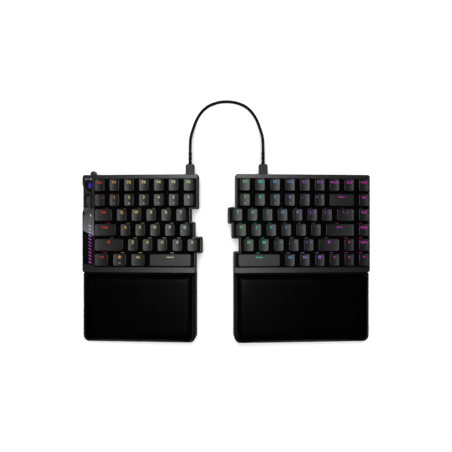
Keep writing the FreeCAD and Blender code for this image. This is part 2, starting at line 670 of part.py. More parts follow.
def keycap_shape(units, dished):
    """A cap of a given width with its slider, skirt at z = 0, over the middle of its cell."""
    height, wall, roof = size("cap_height"), size("cap_wall"), size("cap_roof")
    base, depth = size("cap_base"), size("cap_top_depth")
    skirt = units * pitch - (pitch - base)
    top = skirt - (base - size("cap_top_width"))
    shift, corner = size("cap_shift"), size("cap_corner")
    cap = frustum(corners_at(skirt, base, 0), corners_at(top, depth, height, shift, corner))
    if dished:
        dip = size("dish_depth")
        rim, floor = top / 2 + 0.01, top / 2 - size("dish_slope")
        section = [V(-rim, -base, height), V(-floor, -base, height - dip),
                   V(floor, -base, height - dip), V(rim, -base, height)]
        dish = Part.Face(Part.makePolygon(section + section[:1])).extrude(V(0, 2 * base, 0))
        cap = cap.cut(dish)
    inner_top = height - roof
    taper = inner_top / height
    cavity = frustum(
        corners_at(skirt - 2 * wall, base - 2 * wall, 0),
        corners_at(skirt - 2 * wall - taper * (skirt - top), base - 2 * wall - taper * (base - depth),
                   inner_top, taper * shift))
    cap = cap.cut(cavity)
    across, deep, reach = size("slider_width"), size("slider_depth"), size("slider_reach")
    post = Part.makeBox(across, deep, reach + inner_top, V(-across / 2, -deep / 2, -reach))
    return cap.fuse(post).removeSplitter()


def switches(side):
    made = doc.addObject("Part::Feature", "Switches")
    made.Shape = copies(switch_shape(), [V(x, y, 0) for node, x, y, units in key_cells(side)])
    return keep(made, f"{side}_switches", HALF[side])


def keys(side):
    """Caps of one half, one node for each group of keys."""
    groups = {}
    for node, x, y, units in key_cells(side):
        groups.setdefault(node, []).append((x, y, units))
    lift = size("plate_top + cap_lift")
    for node, members in groups.items():
        cap = keycap_shape(members[0][2], "space" not in node)
        made = doc.addObject("Part::Feature", "Caps")
        made.Shape = copies(cap, [V(x, y, lift) for x, y, units in members])
        keep(made, node, HALF[side])


def stabilisers(side):
    """Housings that keep the wide caps level, and the bent wire that joins each pair."""
    width, depth = size("stabiliser_width"), size("stabiliser_depth")
    height, wire = size("stabiliser_height"), size("stabiliser_wire")
    front, run = size("stabiliser_front"), size("stabiliser_run")
    plate = size("plate_top")
    solids = []
    for node, x, y, units in key_cells(side):
        if node not in STABILISED:
            continue
        spread = size(STABILISED[node])
        bar = Part.makeBox(2 * spread, wire, wire, V(x - spread, y - run, plate))
        for middle in (x - spread, x + spread):
            solids.append(Part.makeBox(width, depth, height, V(middle - width / 2, y - front, plate)))
            leg = Part.makeBox(wire, run - front, wire, V(middle - wire / 2, y - run, plate))
            bar = bar.fuse(leg)
        solids.append(bar.removeSplitter())
    made = doc.addObject("Part::Feature", "Stabilisers")
    made.Shape = Part.makeCompound(solids)
    return keep(made, f"{side}_stabilisers", HALF[side])


def case_screws(side):
    """Screws from below that hold the two shells of the case together."""
    screws = []
    for x, y in places(CASE_SCREWS[side], side):
        screw = doc.addObject("PartDesign::Body", "Screw")
        pad(screw, [octagon(x, y, "screw_head_radius")], "0", "screw_head_height")
        pad(screw, [octagon(x, y, "screw_radius")], "screw_head_height - 0.2",
            "screw_head_height + case_screw_length")
        screws.append(screw)
    every = doc.addObject("Part::Compound", "Screws")
    every.Links = screws
    return keep(every, f"{side}_case_screws", HALF[side])


def socket(label, side, x):
    """Flat oval socket that lies on the circuit board behind the rear wall."""
    body = doc.addObject("PartDesign::Body", "Socket")
    middle, z = inward(x, side), "(board_top + port_height / 2)"
    mouth = "6 * key_pitch + rear_border - port_setback"
    outline = rectangle(f"{middle} - port_width / 2", f"{z} - port_height / 2",
                        f"{middle} + port_width / 2", f"{z} + port_height / 2")
    feature(body, "Pad", sketch_on(body, "XZ_Plane", [outline], f"-({mouth})"), "port_depth")
    along = lambda edge: (edge.Length > size("port_depth") - 0.01 and
                          abs(edge.Vertexes[0].Y - edge.Vertexes[-1].Y) > size("port_depth") - 0.01)
    dress(body, "Chamfer", along, "port_height / 3")
    hollow = rectangle(f"{middle} - port_width / 2 + port_wall", f"{z} - port_height / 2 + port_wall",
                       f"{middle} + port_width / 2 - port_wall", f"{z} + port_height / 2 - port_wall")
    hole = feature(body, "Pocket", sketch_on(body, "XZ_Plane", [hollow], f"-({mouth})"),
                   "port_depth - port_floor")
    hole.Reversed = True
    tongue = rectangle(f"{middle} - port_width / 2 + 1.2", f"{z} - 0.35",
                       f"{middle} + port_width / 2 - 1.2", f"{z} + 0.35")
    feature(body, "Pad", sketch_on(body, "XZ_Plane", [tongue],
                                   f"-({mouth}) + port_depth - port_floor - 4.6"), "4.8")
    return keep(body, label, HALF[side])


CABLE_SIDES = 8
RELIEF_RIBS = 2


def round_corners(middle, radius):
    """Corners of the cable's own eight-sided section round a point, at a given radius."""
    step = 2 * math.pi / CABLE_SIDES
    return [middle + V(radius * math.cos(i * step), 0, radius * math.sin(i * step))
            for i in range(CABLE_SIDES)]


def relief_shape(start):
    """Tapered strain relief along +Y, with grooves between its ribs."""
    length, core = size("relief_length"), size("cable_radius + 0.15")
    radius = size("relief_radius")
    rib = length / (2 * RELIEF_RIBS + 1)
    whole = frustum(round_corners(start - V(0, 1, 0), core),
                    round_corners(start + V(0, length, 0), core))
    for i in range(RELIEF_RIBS + 1):
        near, far = start + V(0, 2 * i * rib - 0.5, 0), start + V(0, (2 * i + 1) * rib, 0)
        taper = (radius - core - 0.2) / (2 * RELIEF_RIBS + 1)
        whole = whole.fuse(frustum(round_corners(near, radius - 2 * i * taper),
                                   round_corners(far, radius - (2 * i + 1) * taper)))
    return whole


def plug(label, side, x):
    """Moulded plug: nose in the socket, body, and a ribbed strain relief round the cable."""
    body = doc.addObject("PartDesign::Body", "Plug")
    middle, z = inward(x, side), "(board_top + port_height / 2)"
    rear = "(6 * key_pitch + rear_border + plug_gap)"
    half = "plug_width / 2"
    block = rectangle(f"{middle} - {half}", rear, f"{middle} + {half}", f"{rear} + plug_length")
    pad(body, [block], f"{z} - plug_height / 2", f"{z} + plug_height / 2")
    far = case_rear + size("plug_gap + plug_length")
    dress(body, "Fillet", upright(lambda x, y: abs(y - far) < 0.01), "plug_radius")
    level = upright(lambda x, y: True)
    dress(body, "Chamfer", lambda edge: not level(edge) and edge.BoundBox.YLength > 1, "0.9")
    inset = "(port_wall + nose_gap)"
    nose = rectangle(f"{middle} - port_width / 2 + {inset}", f"{rear} - plug_nose",
                     f"{middle} + port_width / 2 - {inset}", f"{rear} + 0.5")
    pad(body, [nose], f"{z} - port_height / 2 + {inset}", f"{z} + port_height / 2 - {inset}")
    slot = rectangle(f"{middle} - port_width / 2 + 1", f"{rear} - plug_nose - 1",
                     f"{middle} + port_width / 2 - 1", f"{rear} - plug_nose + 5")
    pocket(body, [slot], f"{z} - 0.5", f"{z} + 0.5")
    relief = doc.addObject("Part::Feature", "Relief")
    relief.Shape = relief_shape(V(size(middle), far, size(z)))
    whole = doc.addObject("Part::Fuse", "Plug")
    whole.Base, whole.Tool = body, relief
    return keep(whole, label, HALF[side])


# Left control strip pieces
WHEEL_RIBS = 24


def control_wheel():
    """Roller with a ribbed rim and a bore for its axle, drawn round the X axis."""
    wheel = doc.addObject("PartDesign::Body", "Wheel")
    rim, step = [], 360 / WHEEL_RIBS
    for i in range(WHEEL_RIBS):
        for radius, angle in (("wheel_radius", i), ("wheel_radius", i + 0.55),
                              ("(wheel_radius - 0.5)", i + 0.78)):
            rim.append((f"{radius} * cos({angle * step})", f"{radius} * sin({angle * step})"))
    pad(wheel, [rim], "-wheel_width / 2", "wheel_width / 2", role="YZ_Plane")
    round_pocket(wheel, [("0", "0")], "axle_radius + axle_gap", "-wheel_width", "wheel_width",
                 role="YZ_Plane")
    spot = FreeCAD.Placement(V(size("wheel_x"), size("wheel_y"), size(WHEEL_Z)), FreeCAD.Rotation())
    return keep(wheel, "control_wheel", HALF["left"].multiply(spot))


def wheel_encoder():
    """Rotary encoder on the tray floor, with the axle that the wheel runs on."""
    block = doc.addObject("PartDesign::Body", "Encoder")
    low = "wheel_x + wheel_width / 2 + 0.3"
    pad(block, [rectangle(low, "wheel_y - 5", f"{low} + encoder_thickness", "wheel_y + 5")],
        "floor_thickness", f"{WHEEL_Z} + 3.2")
    round_pad(block, [("wheel_y", WHEEL_Z)], "axle_radius",
              "wheel_x - wheel_width / 2 - 0.6 - ear_thickness", f"{low} + 0.5", role="YZ_Plane")
    return keep(block, "wheel_encoder", HALF["left"])


def mode_lever():
    """Stout rounded knob behind the case, on a neck that runs in a slot of the rear wall."""
    body = doc.addObject("PartDesign::Body", "Lever")
    rear = "6 * key_pitch + rear_border"
    low, high = "lever_x - lever_width / 2", "lever_x + lever_width / 2"
    z_low, z_high = "lever_z - lever_height / 2", "lever_z + lever_height / 2"
    pad(body, [rectangle(low, f"{rear} + lever_gap", high, f"{rear} + lever_proud")], z_low, z_high)
    tip = case_rear + size("lever_proud")
    dress(body, "Fillet", upright(lambda x, y: abs(y - tip) < 0.01), "lever_width / 2 - 0.3")
    top = size(z_high)
    dress(body, "Chamfer", lambda edge: min(v.Z for v in edge.Vertexes) > top - 0.01, "0.5")
    pad(body, [rectangle("lever_x - lever_neck / 2", "6 * key_pitch + 0.6", "lever_x + lever_neck / 2",
                         f"{rear} + lever_gap + 0.3")], f"{z_low} + 1", f"{z_high} - 1")
    return keep(body, "mode_lever", HALF["left"])


def panels():
    """Two inlaid panels of the control strip, with slots for the light bars."""
    bottom, top = "case_height - panel_thickness", "case_height"
    side = doc.addObject("PartDesign::Body", "Panel")
    pad(side, [side_panel_outline("panel_gap")], bottom, top)
    pocket(side, [light_bar(i, "bar_gap") for i in range(3)], f"{bottom} - 1", f"{top} + 1")
    pocket(side, [status_outline("bar_gap")], f"{bottom} - 1", f"{top} + 1")
    keep(side, "left_side_panel", HALF["left"])
    gloss = doc.addObject("PartDesign::Body", "Panel")
    pad(gloss, [gloss_panel_outline("panel_gap")], bottom, top)
    pocket(gloss, [light_bar(i, "bar_gap") for i in range(3, round(size("bar_count")))],
           f"{bottom} - 1", f"{top} + 1")
    keep(gloss, "left_gloss_panel", HALF["left"])


def light_bars():
    """Diffuser under the strip: slanted bars, a status light and an eight-sided light."""
    bars = doc.addObject("PartDesign::Body", "Bars")
    bottom = f"{GUIDE_TOP} - guide_thickness"
    pad(bars, [rectangle("bar_x - bar_width / 2 - 1.5", f"{LIGHT_END} - 5",
                         "bar_x + bar_width / 2 + 1.5", f"{STATUS_Y} + status_length")], bottom, GUIDE_TOP)
    for i in range(round(size("bar_count"))):
        pad(bars, [light_bar(i, "0")], f"{GUIDE_TOP} - 0.2", "case_height + 0.1")
    pad(bars, [status_outline("0")], f"{GUIDE_TOP} - 0.2", "case_height + 0.2")
    lamp = doc.addObject("PartDesign::Body", "EightSidedLight")
    pad(lamp, [octagon("bar_x", CORNER_Y, "corner_light")], bottom, "case_height + 0.2")
    both = doc.addObject("Part::Compound", "Lights")
    both.Links = [bars, lamp]
    return keep(both, "left_light_bar", HALF["left"])


def battery():
    cell = doc.addObject("Part::Box", "Cell")
    for name, expression in (("Length", "battery_width"), ("Width", "battery_length"),
                             ("Height", "battery_height")):
        cell.setExpression(name, bound(expression))
    spot = V(size("-strip_width + strip_wall + 1"), size("2"), size("floor_thickness"))
    return keep(cell, "left_battery", HALF["left"].multiply(FreeCAD.Placement(spot, FreeCAD.Rotation())))


# Feet
def rubber_feet(side):
    """Pads under the outer edge, cut flat where they stand on the desk."""
    start = "-strip_width + 2.5" if side == "left" else "3"
    body_shapes = []
    for y in ("0", f"6 * key_pitch - pad_length - 2"):
        foot = doc.addObject("PartDesign::Body", "Pad")
        x_low, x_high = start, f"{start} + pad_width"
        outline = [(x_low, "0"), (x_high, "0"), (x_high, desk(x_high, side)), (x_low, desk(x_low, side))]
        sketch = sketch_on(foot, "XZ_Plane", [places(outline, side)], f"-({y}) - pad_length")
        feature(foot, "Pad", sketch, "pad_length")
        body_shapes.append(foot)
    both = doc.addObject("Part::Compound", "Feet")
    both.Links = body_shapes
    return keep(both, f"{side}_rubber_feet", HALF[side])


def tilt_foot(side):
    """Fold-out foot that tents the half: stub pins, a bevelled root and a tip flat on the desk."""
    lean = "foot_lean"
    x, z, half = f"({FOOT_X[side]})", "foot_axis_z", "foot_thickness / 2"
    foot = doc.addObject("PartDesign::Body", "Foot")
    outline = [(f"{x} - {half}", z), (f"{x} - {half} / 2", f"{z} + {half} * 0.85"),
               (f"{x} + {half} / 2", f"{z} + {half} * 0.85"), (f"{x} + {half}", z)]
    for sign in ("+", "-"):
        top_x = f"{x} {sign} {half} * cos({lean})"
        top_z = f"{z} {sign} {half} * sin({lean})"
        fall = f"(({top_z}) + (outer_rise + ({top_x}) * sin(tent_angle)) / cos(tent_angle))"
        run = f"{fall} * sin({lean}) * cos(tent_angle) / cos(tent_angle + {lean})"
        tip = f"{top_x} + {run}"
        outline.append((tip, desk(tip, side)))
    start = f"-({FOOT_Y}) - foot_width / 2"
    feature(foot, "Pad", sketch_on(foot, "XZ_Plane", [places(outline, side)], start), "foot_width")
    pins = circles_on(foot, "XZ_Plane", [(inward(FOOT_X[side], side), z)], "foot_pin_radius", f"{start} - foot_gap - 0.9")
    feature(foot, "Pad", pins, "foot_width + 2 * (foot_gap + 0.9)")
    return keep(foot, f"{side}_tilt_foot", HALF[side])


# Wrist rests
def rest_span(side):
    """Outer and inner ends of a wrist rest, x inwards."""
    return (f"-({OUTER[side]}) - rest_overhang",
            f"({ROW_UNITS[side][5]}) * key_pitch + tab_border - rest_inset")


def wrist_base(side):
    """Hard wedge from the desk to the pad."""
    base = doc.addObject("PartDesign::Body", "Base")
    low, high = rest_span(side)
    rear = "-front_border - rest_gap"
    outline = [(low, desk(low, side)), (high, desk(high, side)), (high, "rest_base_top"),
               (low, "rest_base_top")]
    sketch = sketch_on(base, "XZ_Plane", [places(outline, side)], f"-({rear})")
    feature(base, "Pad", sketch, "rest_depth")
    dress(base, "Fillet", upright(lambda x, y: y < rest_front + 0.01), "rest_radius")
    outer = INWARD[side] * size(low)
    dress(base, "Fillet", upright(lambda x, y: y > case_front - 5 and abs(x - outer) < 0.01),
          "outer_radius")
    return keep(base, f"{side}_wrist_base", HALF[side])


def rounded_outline(x_low, x_high, y_low, y_high, front, rear, z):
    """A closed wire: a rectangle with its own radius at the front and at the rear."""
    k = 1 - math.sqrt(0.5)
    spots = [(x_low, y_low, front, 1, 1), (x_high, y_low, front, -1, 1),
             (x_high, y_high, rear, -1, -1), (x_low, y_high, rear, 1, -1)]
    edges, ends = [], []
    for i, (x, y, r, sx, sy) in enumerate(spots):
        along_x, along_y = V(x + sx * r, y, z), V(x, y + sy * r, z)
        middle = V(x + sx * r * k, y + sy * r * k, z)
        first, last = (along_y, along_x) if i % 2 == 0 else (along_x, along_y)
        ends.append((first, last))
        edges.append(Part.Arc(first, middle, last).toShape())
    lines = [Part.LineSegment(ends[i][1], ends[(i + 1) % 4][0]).toShape() for i in range(4)]
    ordered = [edge for pair in zip(edges, lines) for edge in pair]
    return Part.Wire(ordered)


# Cushion profile: (share of the pad's height, how far the outline is drawn in)
CUSHION = [(0, 1.2), (0.35, 0.0), (0.8, 1.2), (0.96, 6.0), (1.0, 18.0)]


def wrist_pad(side):
    """Padded top of a wrist rest: crowned, with its sides drawn in at the seam."""
    low, high = (size(end) for end in rest_span(side))
    if side == "right":
        low, high = -high, -low
    front, rear = rest_front, case_front - size("rest_gap")
    bottom, height = size("rest_base_top"), size("rest_pad_height")
    wires = []
    for share, inset in CUSHION:
        wires.append(rounded_outline(low + inset, high - inset, front + inset, rear - inset,
                                     size("rest_radius"), size("outer_radius"),
                                     bottom + share * height))
    made = doc.addObject("Part::Feature", "Cushion")
    made.Shape = Part.makeLoft(wires, True, True)
    return keep(made, f"{side}_wrist_pad", HALF[side])


# Bridge cable: half of its route, mirrored about the middle between the two plugs,
# as (share of the half span, distance behind the plug's relief, height of the centre line)
CABLE_ROUTE = [(1.0, 0.0, None), (1.0, 9.0, None), (1.0, 20.0, 0.72), (0.955, 31.0, 0.3),
               (0.878, 43.0, 0.04), (0.787, 51.8, 0.0), (0.644, 60.1, 0.0), (0.46, 66.2, 0.0),
               (0.17, 70.4, 0.0)]
ARC_SHARE = 0.45


def relief_end(side):
    """Where the cable enters a plug's strain relief."""
    x = INWARD[side] * size("left_port_x" if side == "left" else "right_port_x")
    y = size("6 * key_pitch + rear_border + plug_gap + plug_length + relief_length")
    return HALF[side].multVec(V(x, y, size("board_top + port_height / 2")))


def cable_points():
    """Control points of the cable, from the left plug to the right plug."""
    left, right = relief_end("left"), relief_end("right")
    middle, half = (left.x + right.x) / 2, (right.x - left.x) / 2
    rest = size("cable_radius")
    points = {"left": [], "right": []}
    for side, end in (("left", left), ("right", right)):
        sign = -1 if side == "left" else 1
        for share, back, level in CABLE_ROUTE:
            z = end.z if level is None else rest + level * (end.z - rest)
            points[side].append(V(middle + sign * share * half, end.y + back, z))
    return points["left"] + points["right"][::-1]


def cable():
    """Eight-sided tube of straight runs and tangent arcs, each as large as its runs allow."""
    points = cable_points()
    radius = size("cable_radius")
    edges, start, smallest = [], points[0], None
    for i in range(1, len(points) - 1):
        before, at, after = points[i - 1], points[i], points[i + 1]
        u, w = (before - at), (after - at)
        shorter = min(u.Length, w.Length)
        u.normalize()
        w.normalize()
        turn = math.pi - u.getAngle(w)
        setback = ARC_SHARE * shorter
        bend = setback / math.tan(turn / 2)
        smallest = bend if smallest is None else min(smallest, bend)
        first, last = at + u * setback, at + w * setback
        inner = u + w
        inner.normalize()
        reach = math.hypot(bend, setback) - bend
        edges.append(Part.LineSegment(start, first).toShape())
        edges.append(Part.Arc(first, at + inner * reach, last).toShape())
        start = last
        print(f"cable bend {i}: radius {bend:.1f} mm, turn {math.degrees(turn):.1f} degrees")
    edges.append(Part.LineSegment(start, points[-1]).toShape())
    path = Part.Wire(edges)
    step = 2 * math.pi / CABLE_SIDES
    corners = round_corners(points[0], radius)
    tube = path.makePipeShell([Part.makePolygon(corners + corners[:1])], True, False)
    if not tube.Solids:
        tube = Part.makeSolid(tube)
    expected = CABLE_SIDES / 2 * math.sin(step) * radius ** 2 * path.Length
    print(f"cable: length {path.Length:.1f} mm, smallest bend {smallest:.1f} mm, "
          f"volume {tube.Volume:.0f} of {expected:.0f} mm3")
    made = doc.addObject("Part::Feature", "Cable")
    made.Shape = tube
    return keep(made, "bridge_cable", FreeCAD.Placement())


# Build
for side in ("left", "right"):
    top_frame(side)
    bottom_case(side)
    switch_plate(side)
    circuit_board(side)
    switches(side)
    stabilisers(side)
    case_screws(side)
    rubber_feet(side)
    tilt_foot(side)
    wrist_base(side)
    wrist_pad(side)
    keys(side)
    socket(f"{side}_link_port", side, f"{side}_port_x")
    plug(f"{side}_plug", side, f"{side}_port_x")
socket("left_host_port", "left", "host_port_x")
panels()
light_bars()
battery()
control_wheel()
wheel_encoder()
mode_lever()
cable()

doc.recompute()
for thing in doc.Objects:
    if "Invalid" in thing.State or "Error" in thing.State:
        raise RuntimeError(f"{thing.Name} ({thing.Label}) failed: {thing.State}")
for label, thing in NODES.items():
    shape = thing.Shape
    if shape.isNull() or not shape.isValid() or not shape.Solids:
        raise RuntimeError(f"{label} has no valid solid")

# Export
os.makedirs("parts", exist_ok=True)
for label, thing in NODES.items():
    thing.Shape.exportStep(os.path.join("parts", f"{label}.step"))
print(f"{len(NODES)} sub-parts, {sum(len(thing.Shape.Solids) for thing in NODES.values())} solids")
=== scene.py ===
"""Looks of the split keyboard: materials, lit legends, stuffed wrist pads, the cable, light and camera."""

import math

import bmesh
import bpy
from mathutils import Matrix, Vector
from mathutils.bvhtree import BVHTree


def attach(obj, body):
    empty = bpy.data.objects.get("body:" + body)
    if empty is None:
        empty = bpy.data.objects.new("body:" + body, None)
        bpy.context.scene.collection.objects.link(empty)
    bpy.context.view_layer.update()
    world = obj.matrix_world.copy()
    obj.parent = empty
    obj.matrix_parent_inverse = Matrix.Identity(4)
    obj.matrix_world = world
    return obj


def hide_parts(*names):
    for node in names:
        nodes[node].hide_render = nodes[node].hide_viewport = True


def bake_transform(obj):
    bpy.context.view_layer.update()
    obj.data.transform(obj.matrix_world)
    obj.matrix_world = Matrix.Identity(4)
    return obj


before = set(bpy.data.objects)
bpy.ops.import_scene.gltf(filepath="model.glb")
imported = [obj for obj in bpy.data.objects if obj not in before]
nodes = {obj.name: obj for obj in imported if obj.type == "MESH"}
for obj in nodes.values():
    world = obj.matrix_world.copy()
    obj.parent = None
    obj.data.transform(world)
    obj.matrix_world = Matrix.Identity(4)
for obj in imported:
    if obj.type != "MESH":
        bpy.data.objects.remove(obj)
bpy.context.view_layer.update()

# Sizes that part.py has too, in metres
PITCH = 0.01905
TENT = math.radians(4)
CAP_TOP_WIDTH = 0.0120
CAP_SHIFT, CAP_HEIGHT, DISH_DEPTH, DISH_SLOPE = 0.00045, 0.0075, 0.0004, 0.0036
CAP_LIFT, PLATE_TOP = 0.0182, 0.012
MODIFIER, SPACE = 1.24, 3.12
GRID_FRONT = -0.0132
HALF = {
    "left": Matrix.Translation((-0.1690536, GRID_FRONT, 0.003)) @ Matrix.Rotation(-TENT, 4, "Y"),
    "right": Matrix.Translation((0.1837178, GRID_FRONT, 0.003)) @ Matrix.Rotation(TENT, 4, "Y"),
}
INWARD = {"left": 1, "right": -1}


# Camera: straight above the middle, as it was fitted to the two key grids in the photo
camera = bpy.data.objects.new("camera", bpy.data.cameras.new("camera"))
camera.data.sensor_width = 36
camera.data.lens = 38.767
camera.location = (0, GRID_FRONT + 0.05313, 0.650)
camera.data.clip_start, camera.data.clip_end = 0.01, 20
bpy.context.scene.collection.objects.link(camera)
bpy.context.scene.camera = camera


# Materials
def linear(colour):
    """Linear values of a colour given as the eye sees it, 0 to 255."""
    return [((c / 255 + 0.055) / 1.055) ** 2.4 if c > 10 else c / 255 / 12.92 for c in colour] + [1.0]


class Nodes:
    """A material under construction."""

    def __init__(self, name):
        self.material = bpy.data.materials.new(name)
        self.material.use_nodes = True
        self.tree = self.material.node_tree
        self.tree.nodes.clear()
        self.out = self.add("ShaderNodeOutputMaterial")
        coordinates = self.add("ShaderNodeTexCoord").outputs
        self.place, self.facing = coordinates["Object"], coordinates["Normal"]

    def add(self, kind):
        return self.tree.nodes.new(kind)

    def join(self, a, b):
        self.tree.links.new(a, b)

    def maths(self, operation, *values):
        """Result of an operation on sockets and numbers."""
        node = self.add("ShaderNodeMath")
        node.operation = operation
        for value, socket in zip(values, node.inputs):
            if isinstance(value, bpy.types.NodeSocket):
                self.join(value, socket)
            else:
                socket.default_value = value
        return node.outputs[0]

    def axes(self, vector):
        """The X, Y and Z of a vector."""
        node = self.add("ShaderNodeSeparateXYZ")
        self.join(vector, node.inputs[0])
        return node.outputs

    def noise(self, scale, detail=2.0):
        node = self.add("ShaderNodeTexNoise")
        self.join(self.place, node.inputs["Vector"])
        node.inputs["Scale"].default_value = scale
        node.inputs["Detail"].default_value = detail
        return node.outputs["Fac"]

    def spread(self, value, low, high, from_low=0.3, from_high=0.7):
        node = self.add("ShaderNodeMapRange")
        self.join(value, node.inputs["Value"])
        for key, number in (("From Min", from_low), ("From Max", from_high), ("To Min", low), ("To Max", high)):
            node.inputs[key].default_value = number
        return node.outputs["Result"]

    def ramp(self, value, stops):
        node = self.add("ShaderNodeValToRGB")
        elements = node.color_ramp.elements
        while len(elements) < len(stops):
            elements.new(0.5)
        for element, (position, colour) in zip(elements, stops):
            element.position = position
            element.color = colour
        self.join(value, node.inputs["Fac"])
        return node.outputs["Color"]

    def along(self, axis, low, high):
        """0 to 1 along an axis, from low to high in metres."""
        return self.spread(self.axes(self.place)[axis], 0, 1, low, high)

    def bump(self, shader, height, depth, strength):
        node = self.add("ShaderNodeBump")
        node.inputs["Distance"].default_value = depth
        node.inputs["Strength"].default_value = strength
        self.join(height, node.inputs["Height"])
        self.join(node.outputs["Normal"], shader.inputs["Normal"])

    def surface(self, colour, roughness, specular=0.5, grain=None, depth=0.00003, metallic=0.0, walls=None):
        """Principled surface whose colour varies between two tones, with a fine grain.

        walls is the roughness of upright faces, which come rougher out of the mould."""
        shader = self.add("ShaderNodeBsdfPrincipled")
        tones = [linear(tone) for tone in colour]
        self.join(self.ramp(self.noise(70), [(0.35, tones[0]), (0.65, tones[1])]), shader.inputs["Base Color"])
        rough = self.spread(self.noise(900), roughness[0], roughness[1])
        if walls:
            mix = self.add("ShaderNodeMix")
            self.join(self.spread(self.axes(self.facing)["Z"], 0, 1, 0.55, 0.85), mix.inputs[0])
            mix.inputs[2].default_value = walls
            self.join(rough, mix.inputs[3])
            rough = mix.outputs[0]
        self.join(rough, shader.inputs["Roughness"])
        shader.inputs["Specular IOR Level"].default_value = specular
        shader.inputs["Metallic"].default_value = metallic
        if grain:
            self.bump(shader, self.noise(grain, 3), depth, 0.5)
        self.join(shader.outputs[0], self.out.inputs["Surface"])
        return shader


def plain(name, *args, **kwargs):
    made = Nodes(name)
    made.surface(*args, **kwargs)
    return made.material


# The rainbow of the legends: its ends along X in metres, and how far it slants
RAINBOW_ENDS, RAINBOW_SLANT = (-0.1635, 0.1905), 0.08


def legend_material(name, strength, pale=0.0):
    """Light through a legend: the colour runs across the keyboard, a little slanted."""
    made = Nodes(name)
    shader = made.add("ShaderNodeEmission")
    rainbow = [
        (0.00, linear((160, 34, 42))), (0.025, linear((214, 62, 48))), (0.045, linear((205, 72, 50))),
        (0.072, linear((214, 138, 68))), (0.11, linear((208, 174, 92))), (0.20, linear((212, 206, 128))),
        (0.30, linear((205, 212, 176))), (0.36, linear((158, 205, 140))), (0.52, linear((122, 194, 136))),
        (0.60, linear((60, 202, 165))), (0.66, linear((75, 160, 195))), (0.72, linear((118, 140, 200))),
        (0.77, linear((145, 110, 195))), (0.82, linear((165, 78, 195))), (0.88, linear((198, 60, 190))),
        (0.97, linear((205, 45, 178)))]
    place = made.axes(made.place)
    slanted = made.maths("MULTIPLY_ADD", place["Y"], RAINBOW_SLANT, place["X"])
    colour = made.ramp(made.spread(slanted, 0, 1, *RAINBOW_ENDS), rainbow)
    mix = made.add("ShaderNodeMix")
    mix.data_type = "RGBA"
    mix.inputs["Factor"].default_value = pale
    made.join(colour, mix.inputs["A"])
    mix.inputs["B"].default_value = linear((205, 200, 215))
    made.join(mix.outputs["Result"], shader.inputs["Color"])
    made.join(made.spread(made.noise(260), strength * 0.85, strength), shader.inputs["Strength"])
    made.join(shader.outputs[0], made.out.inputs["Surface"])
    return made.material


cap_plastic = plain("cap_plastic", ((10, 10, 11), (14, 14, 15)), (0.32, 0.37), specular=0.25, grain=2600, walls=0.5)
frame_plastic = plain("frame_plastic", ((10, 10, 11), (14, 14, 15)), (0.28, 0.33), specular=0.34, grain=3200,
                      walls=0.5)
wall_plastic = plain("wall_plastic", ((9, 9, 10), (13, 13, 14)), (0.50, 0.60), specular=0.015, grain=2600)
tray_plastic = plain("tray_plastic", ((5, 5, 6), (8, 8, 9)), (0.70, 0.85), specular=0.05, grain=1800)
dark_plastic = plain("dark_plastic", ((44, 43, 44), (56, 55, 56)), (0.35, 0.42), specular=0.15, grain=2200)
switch_plastic = plain("switch_plastic", ((12, 12, 13), (18, 18, 19)), (0.30, 0.45), specular=0.15)
coated_steel = plain("coated_steel", ((4, 4, 5), (7, 7, 8)), (0.50, 0.60), specular=0.06, grain=1500)
plated_steel = plain("plated_steel", ((150, 150, 154), (172, 172, 176)), (0.22, 0.34), metallic=1.0)
black_screw = plain("black_screw", ((20, 20, 21), (34, 34, 36)), (0.25, 0.40), metallic=0.6)
solder_mask = plain("solder_mask", ((10, 20, 14), (16, 30, 20)), (0.30, 0.45), specular=0.3)
foil = plain("foil", ((120, 120, 126), (150, 150, 156)), (0.25, 0.45), metallic=0.9, grain=400, depth=0.0001)
rubber = plain("rubber", ((14, 14, 15), (22, 22, 23)), (0.65, 0.80), specular=0.2, grain=1600)
plug_plastic = plain("plug_plastic", ((10, 10, 11), (16, 16, 17)), (0.27, 0.34), specular=0.14, grain=2400)
pad_skin = plain("pad_skin", ((1, 1, 1), (2, 2, 2)), (0.28, 0.32), specular=0.021, grain=1500, depth=0.00004)
seam_thread = plain("seam_thread", ((6, 6, 7), (9, 9, 10)), (0.35, 0.45), specular=0.05)
mark_paint = plain("mark_paint", ((118, 116, 120), (150, 148, 152)), (0.45, 0.60), specular=0.1)
# Painted shade for the crease in the control strip
crease_painted_shade = plain("crease_painted_shade", ((3, 3, 3), (6, 6, 6)), (0.70, 0.85), specular=0.02)
# Dark ground of the corner light; the same dark finish paints the shade in the ring round the wheel
dark_ground_and_painted_shade = plain("dark_ground_and_painted_shade", ((3, 3, 5), (7, 6, 9)), (0.45, 0.55), specular=0.05)
# Painted highlight: the light grey of the strip's raised shoulder stands for the light that its slope catches
shoulder_painted_highlight = plain("shoulder_painted_highlight", ((58, 57, 60), (70, 69, 72)), (0.35, 0.42), specular=0.15, grain=3000)


def braid_material(name, strands, pitch):
    """Braid over the cable: strands run round it both ways, one turn in each pitch, and cross."""
    made = Nodes(name)
    shader = made.surface(((7, 7, 8), (11, 11, 12)), (0.42, 0.50), specular=0.06)
    wound = made.add("ShaderNodeAttribute")
    wound.attribute_name = "wound"
    place = made.axes(wound.outputs["Vector"])
    waves = []
    for way in (1, -1):
        along = made.maths("MULTIPLY", place["X"], way * 2 * math.pi * strands / pitch)
        waves.append(made.maths("SINE", made.maths("MULTIPLY_ADD", place["Y"], 2 * math.pi * strands, along)))
    cross = made.maths("MULTIPLY", *waves)
    tones = [(0.2, linear((7, 7, 8))), (0.8, linear((18, 18, 19)))]
    made.join(made.ramp(made.spread(cross, 0, 1, -1, 1), tones), shader.inputs["Base Color"])
    made.bump(shader, cross, 0.00012, 0.6)
    return made.material


cable_braid = braid_material("cable_braid", strands=6, pitch=0.0144)
legend_light = legend_material("legend_light", 0.8)
second_light = legend_material("second_light", 0.55, pale=0.85)
gap_light = legend_material("gap_light", 0.5)

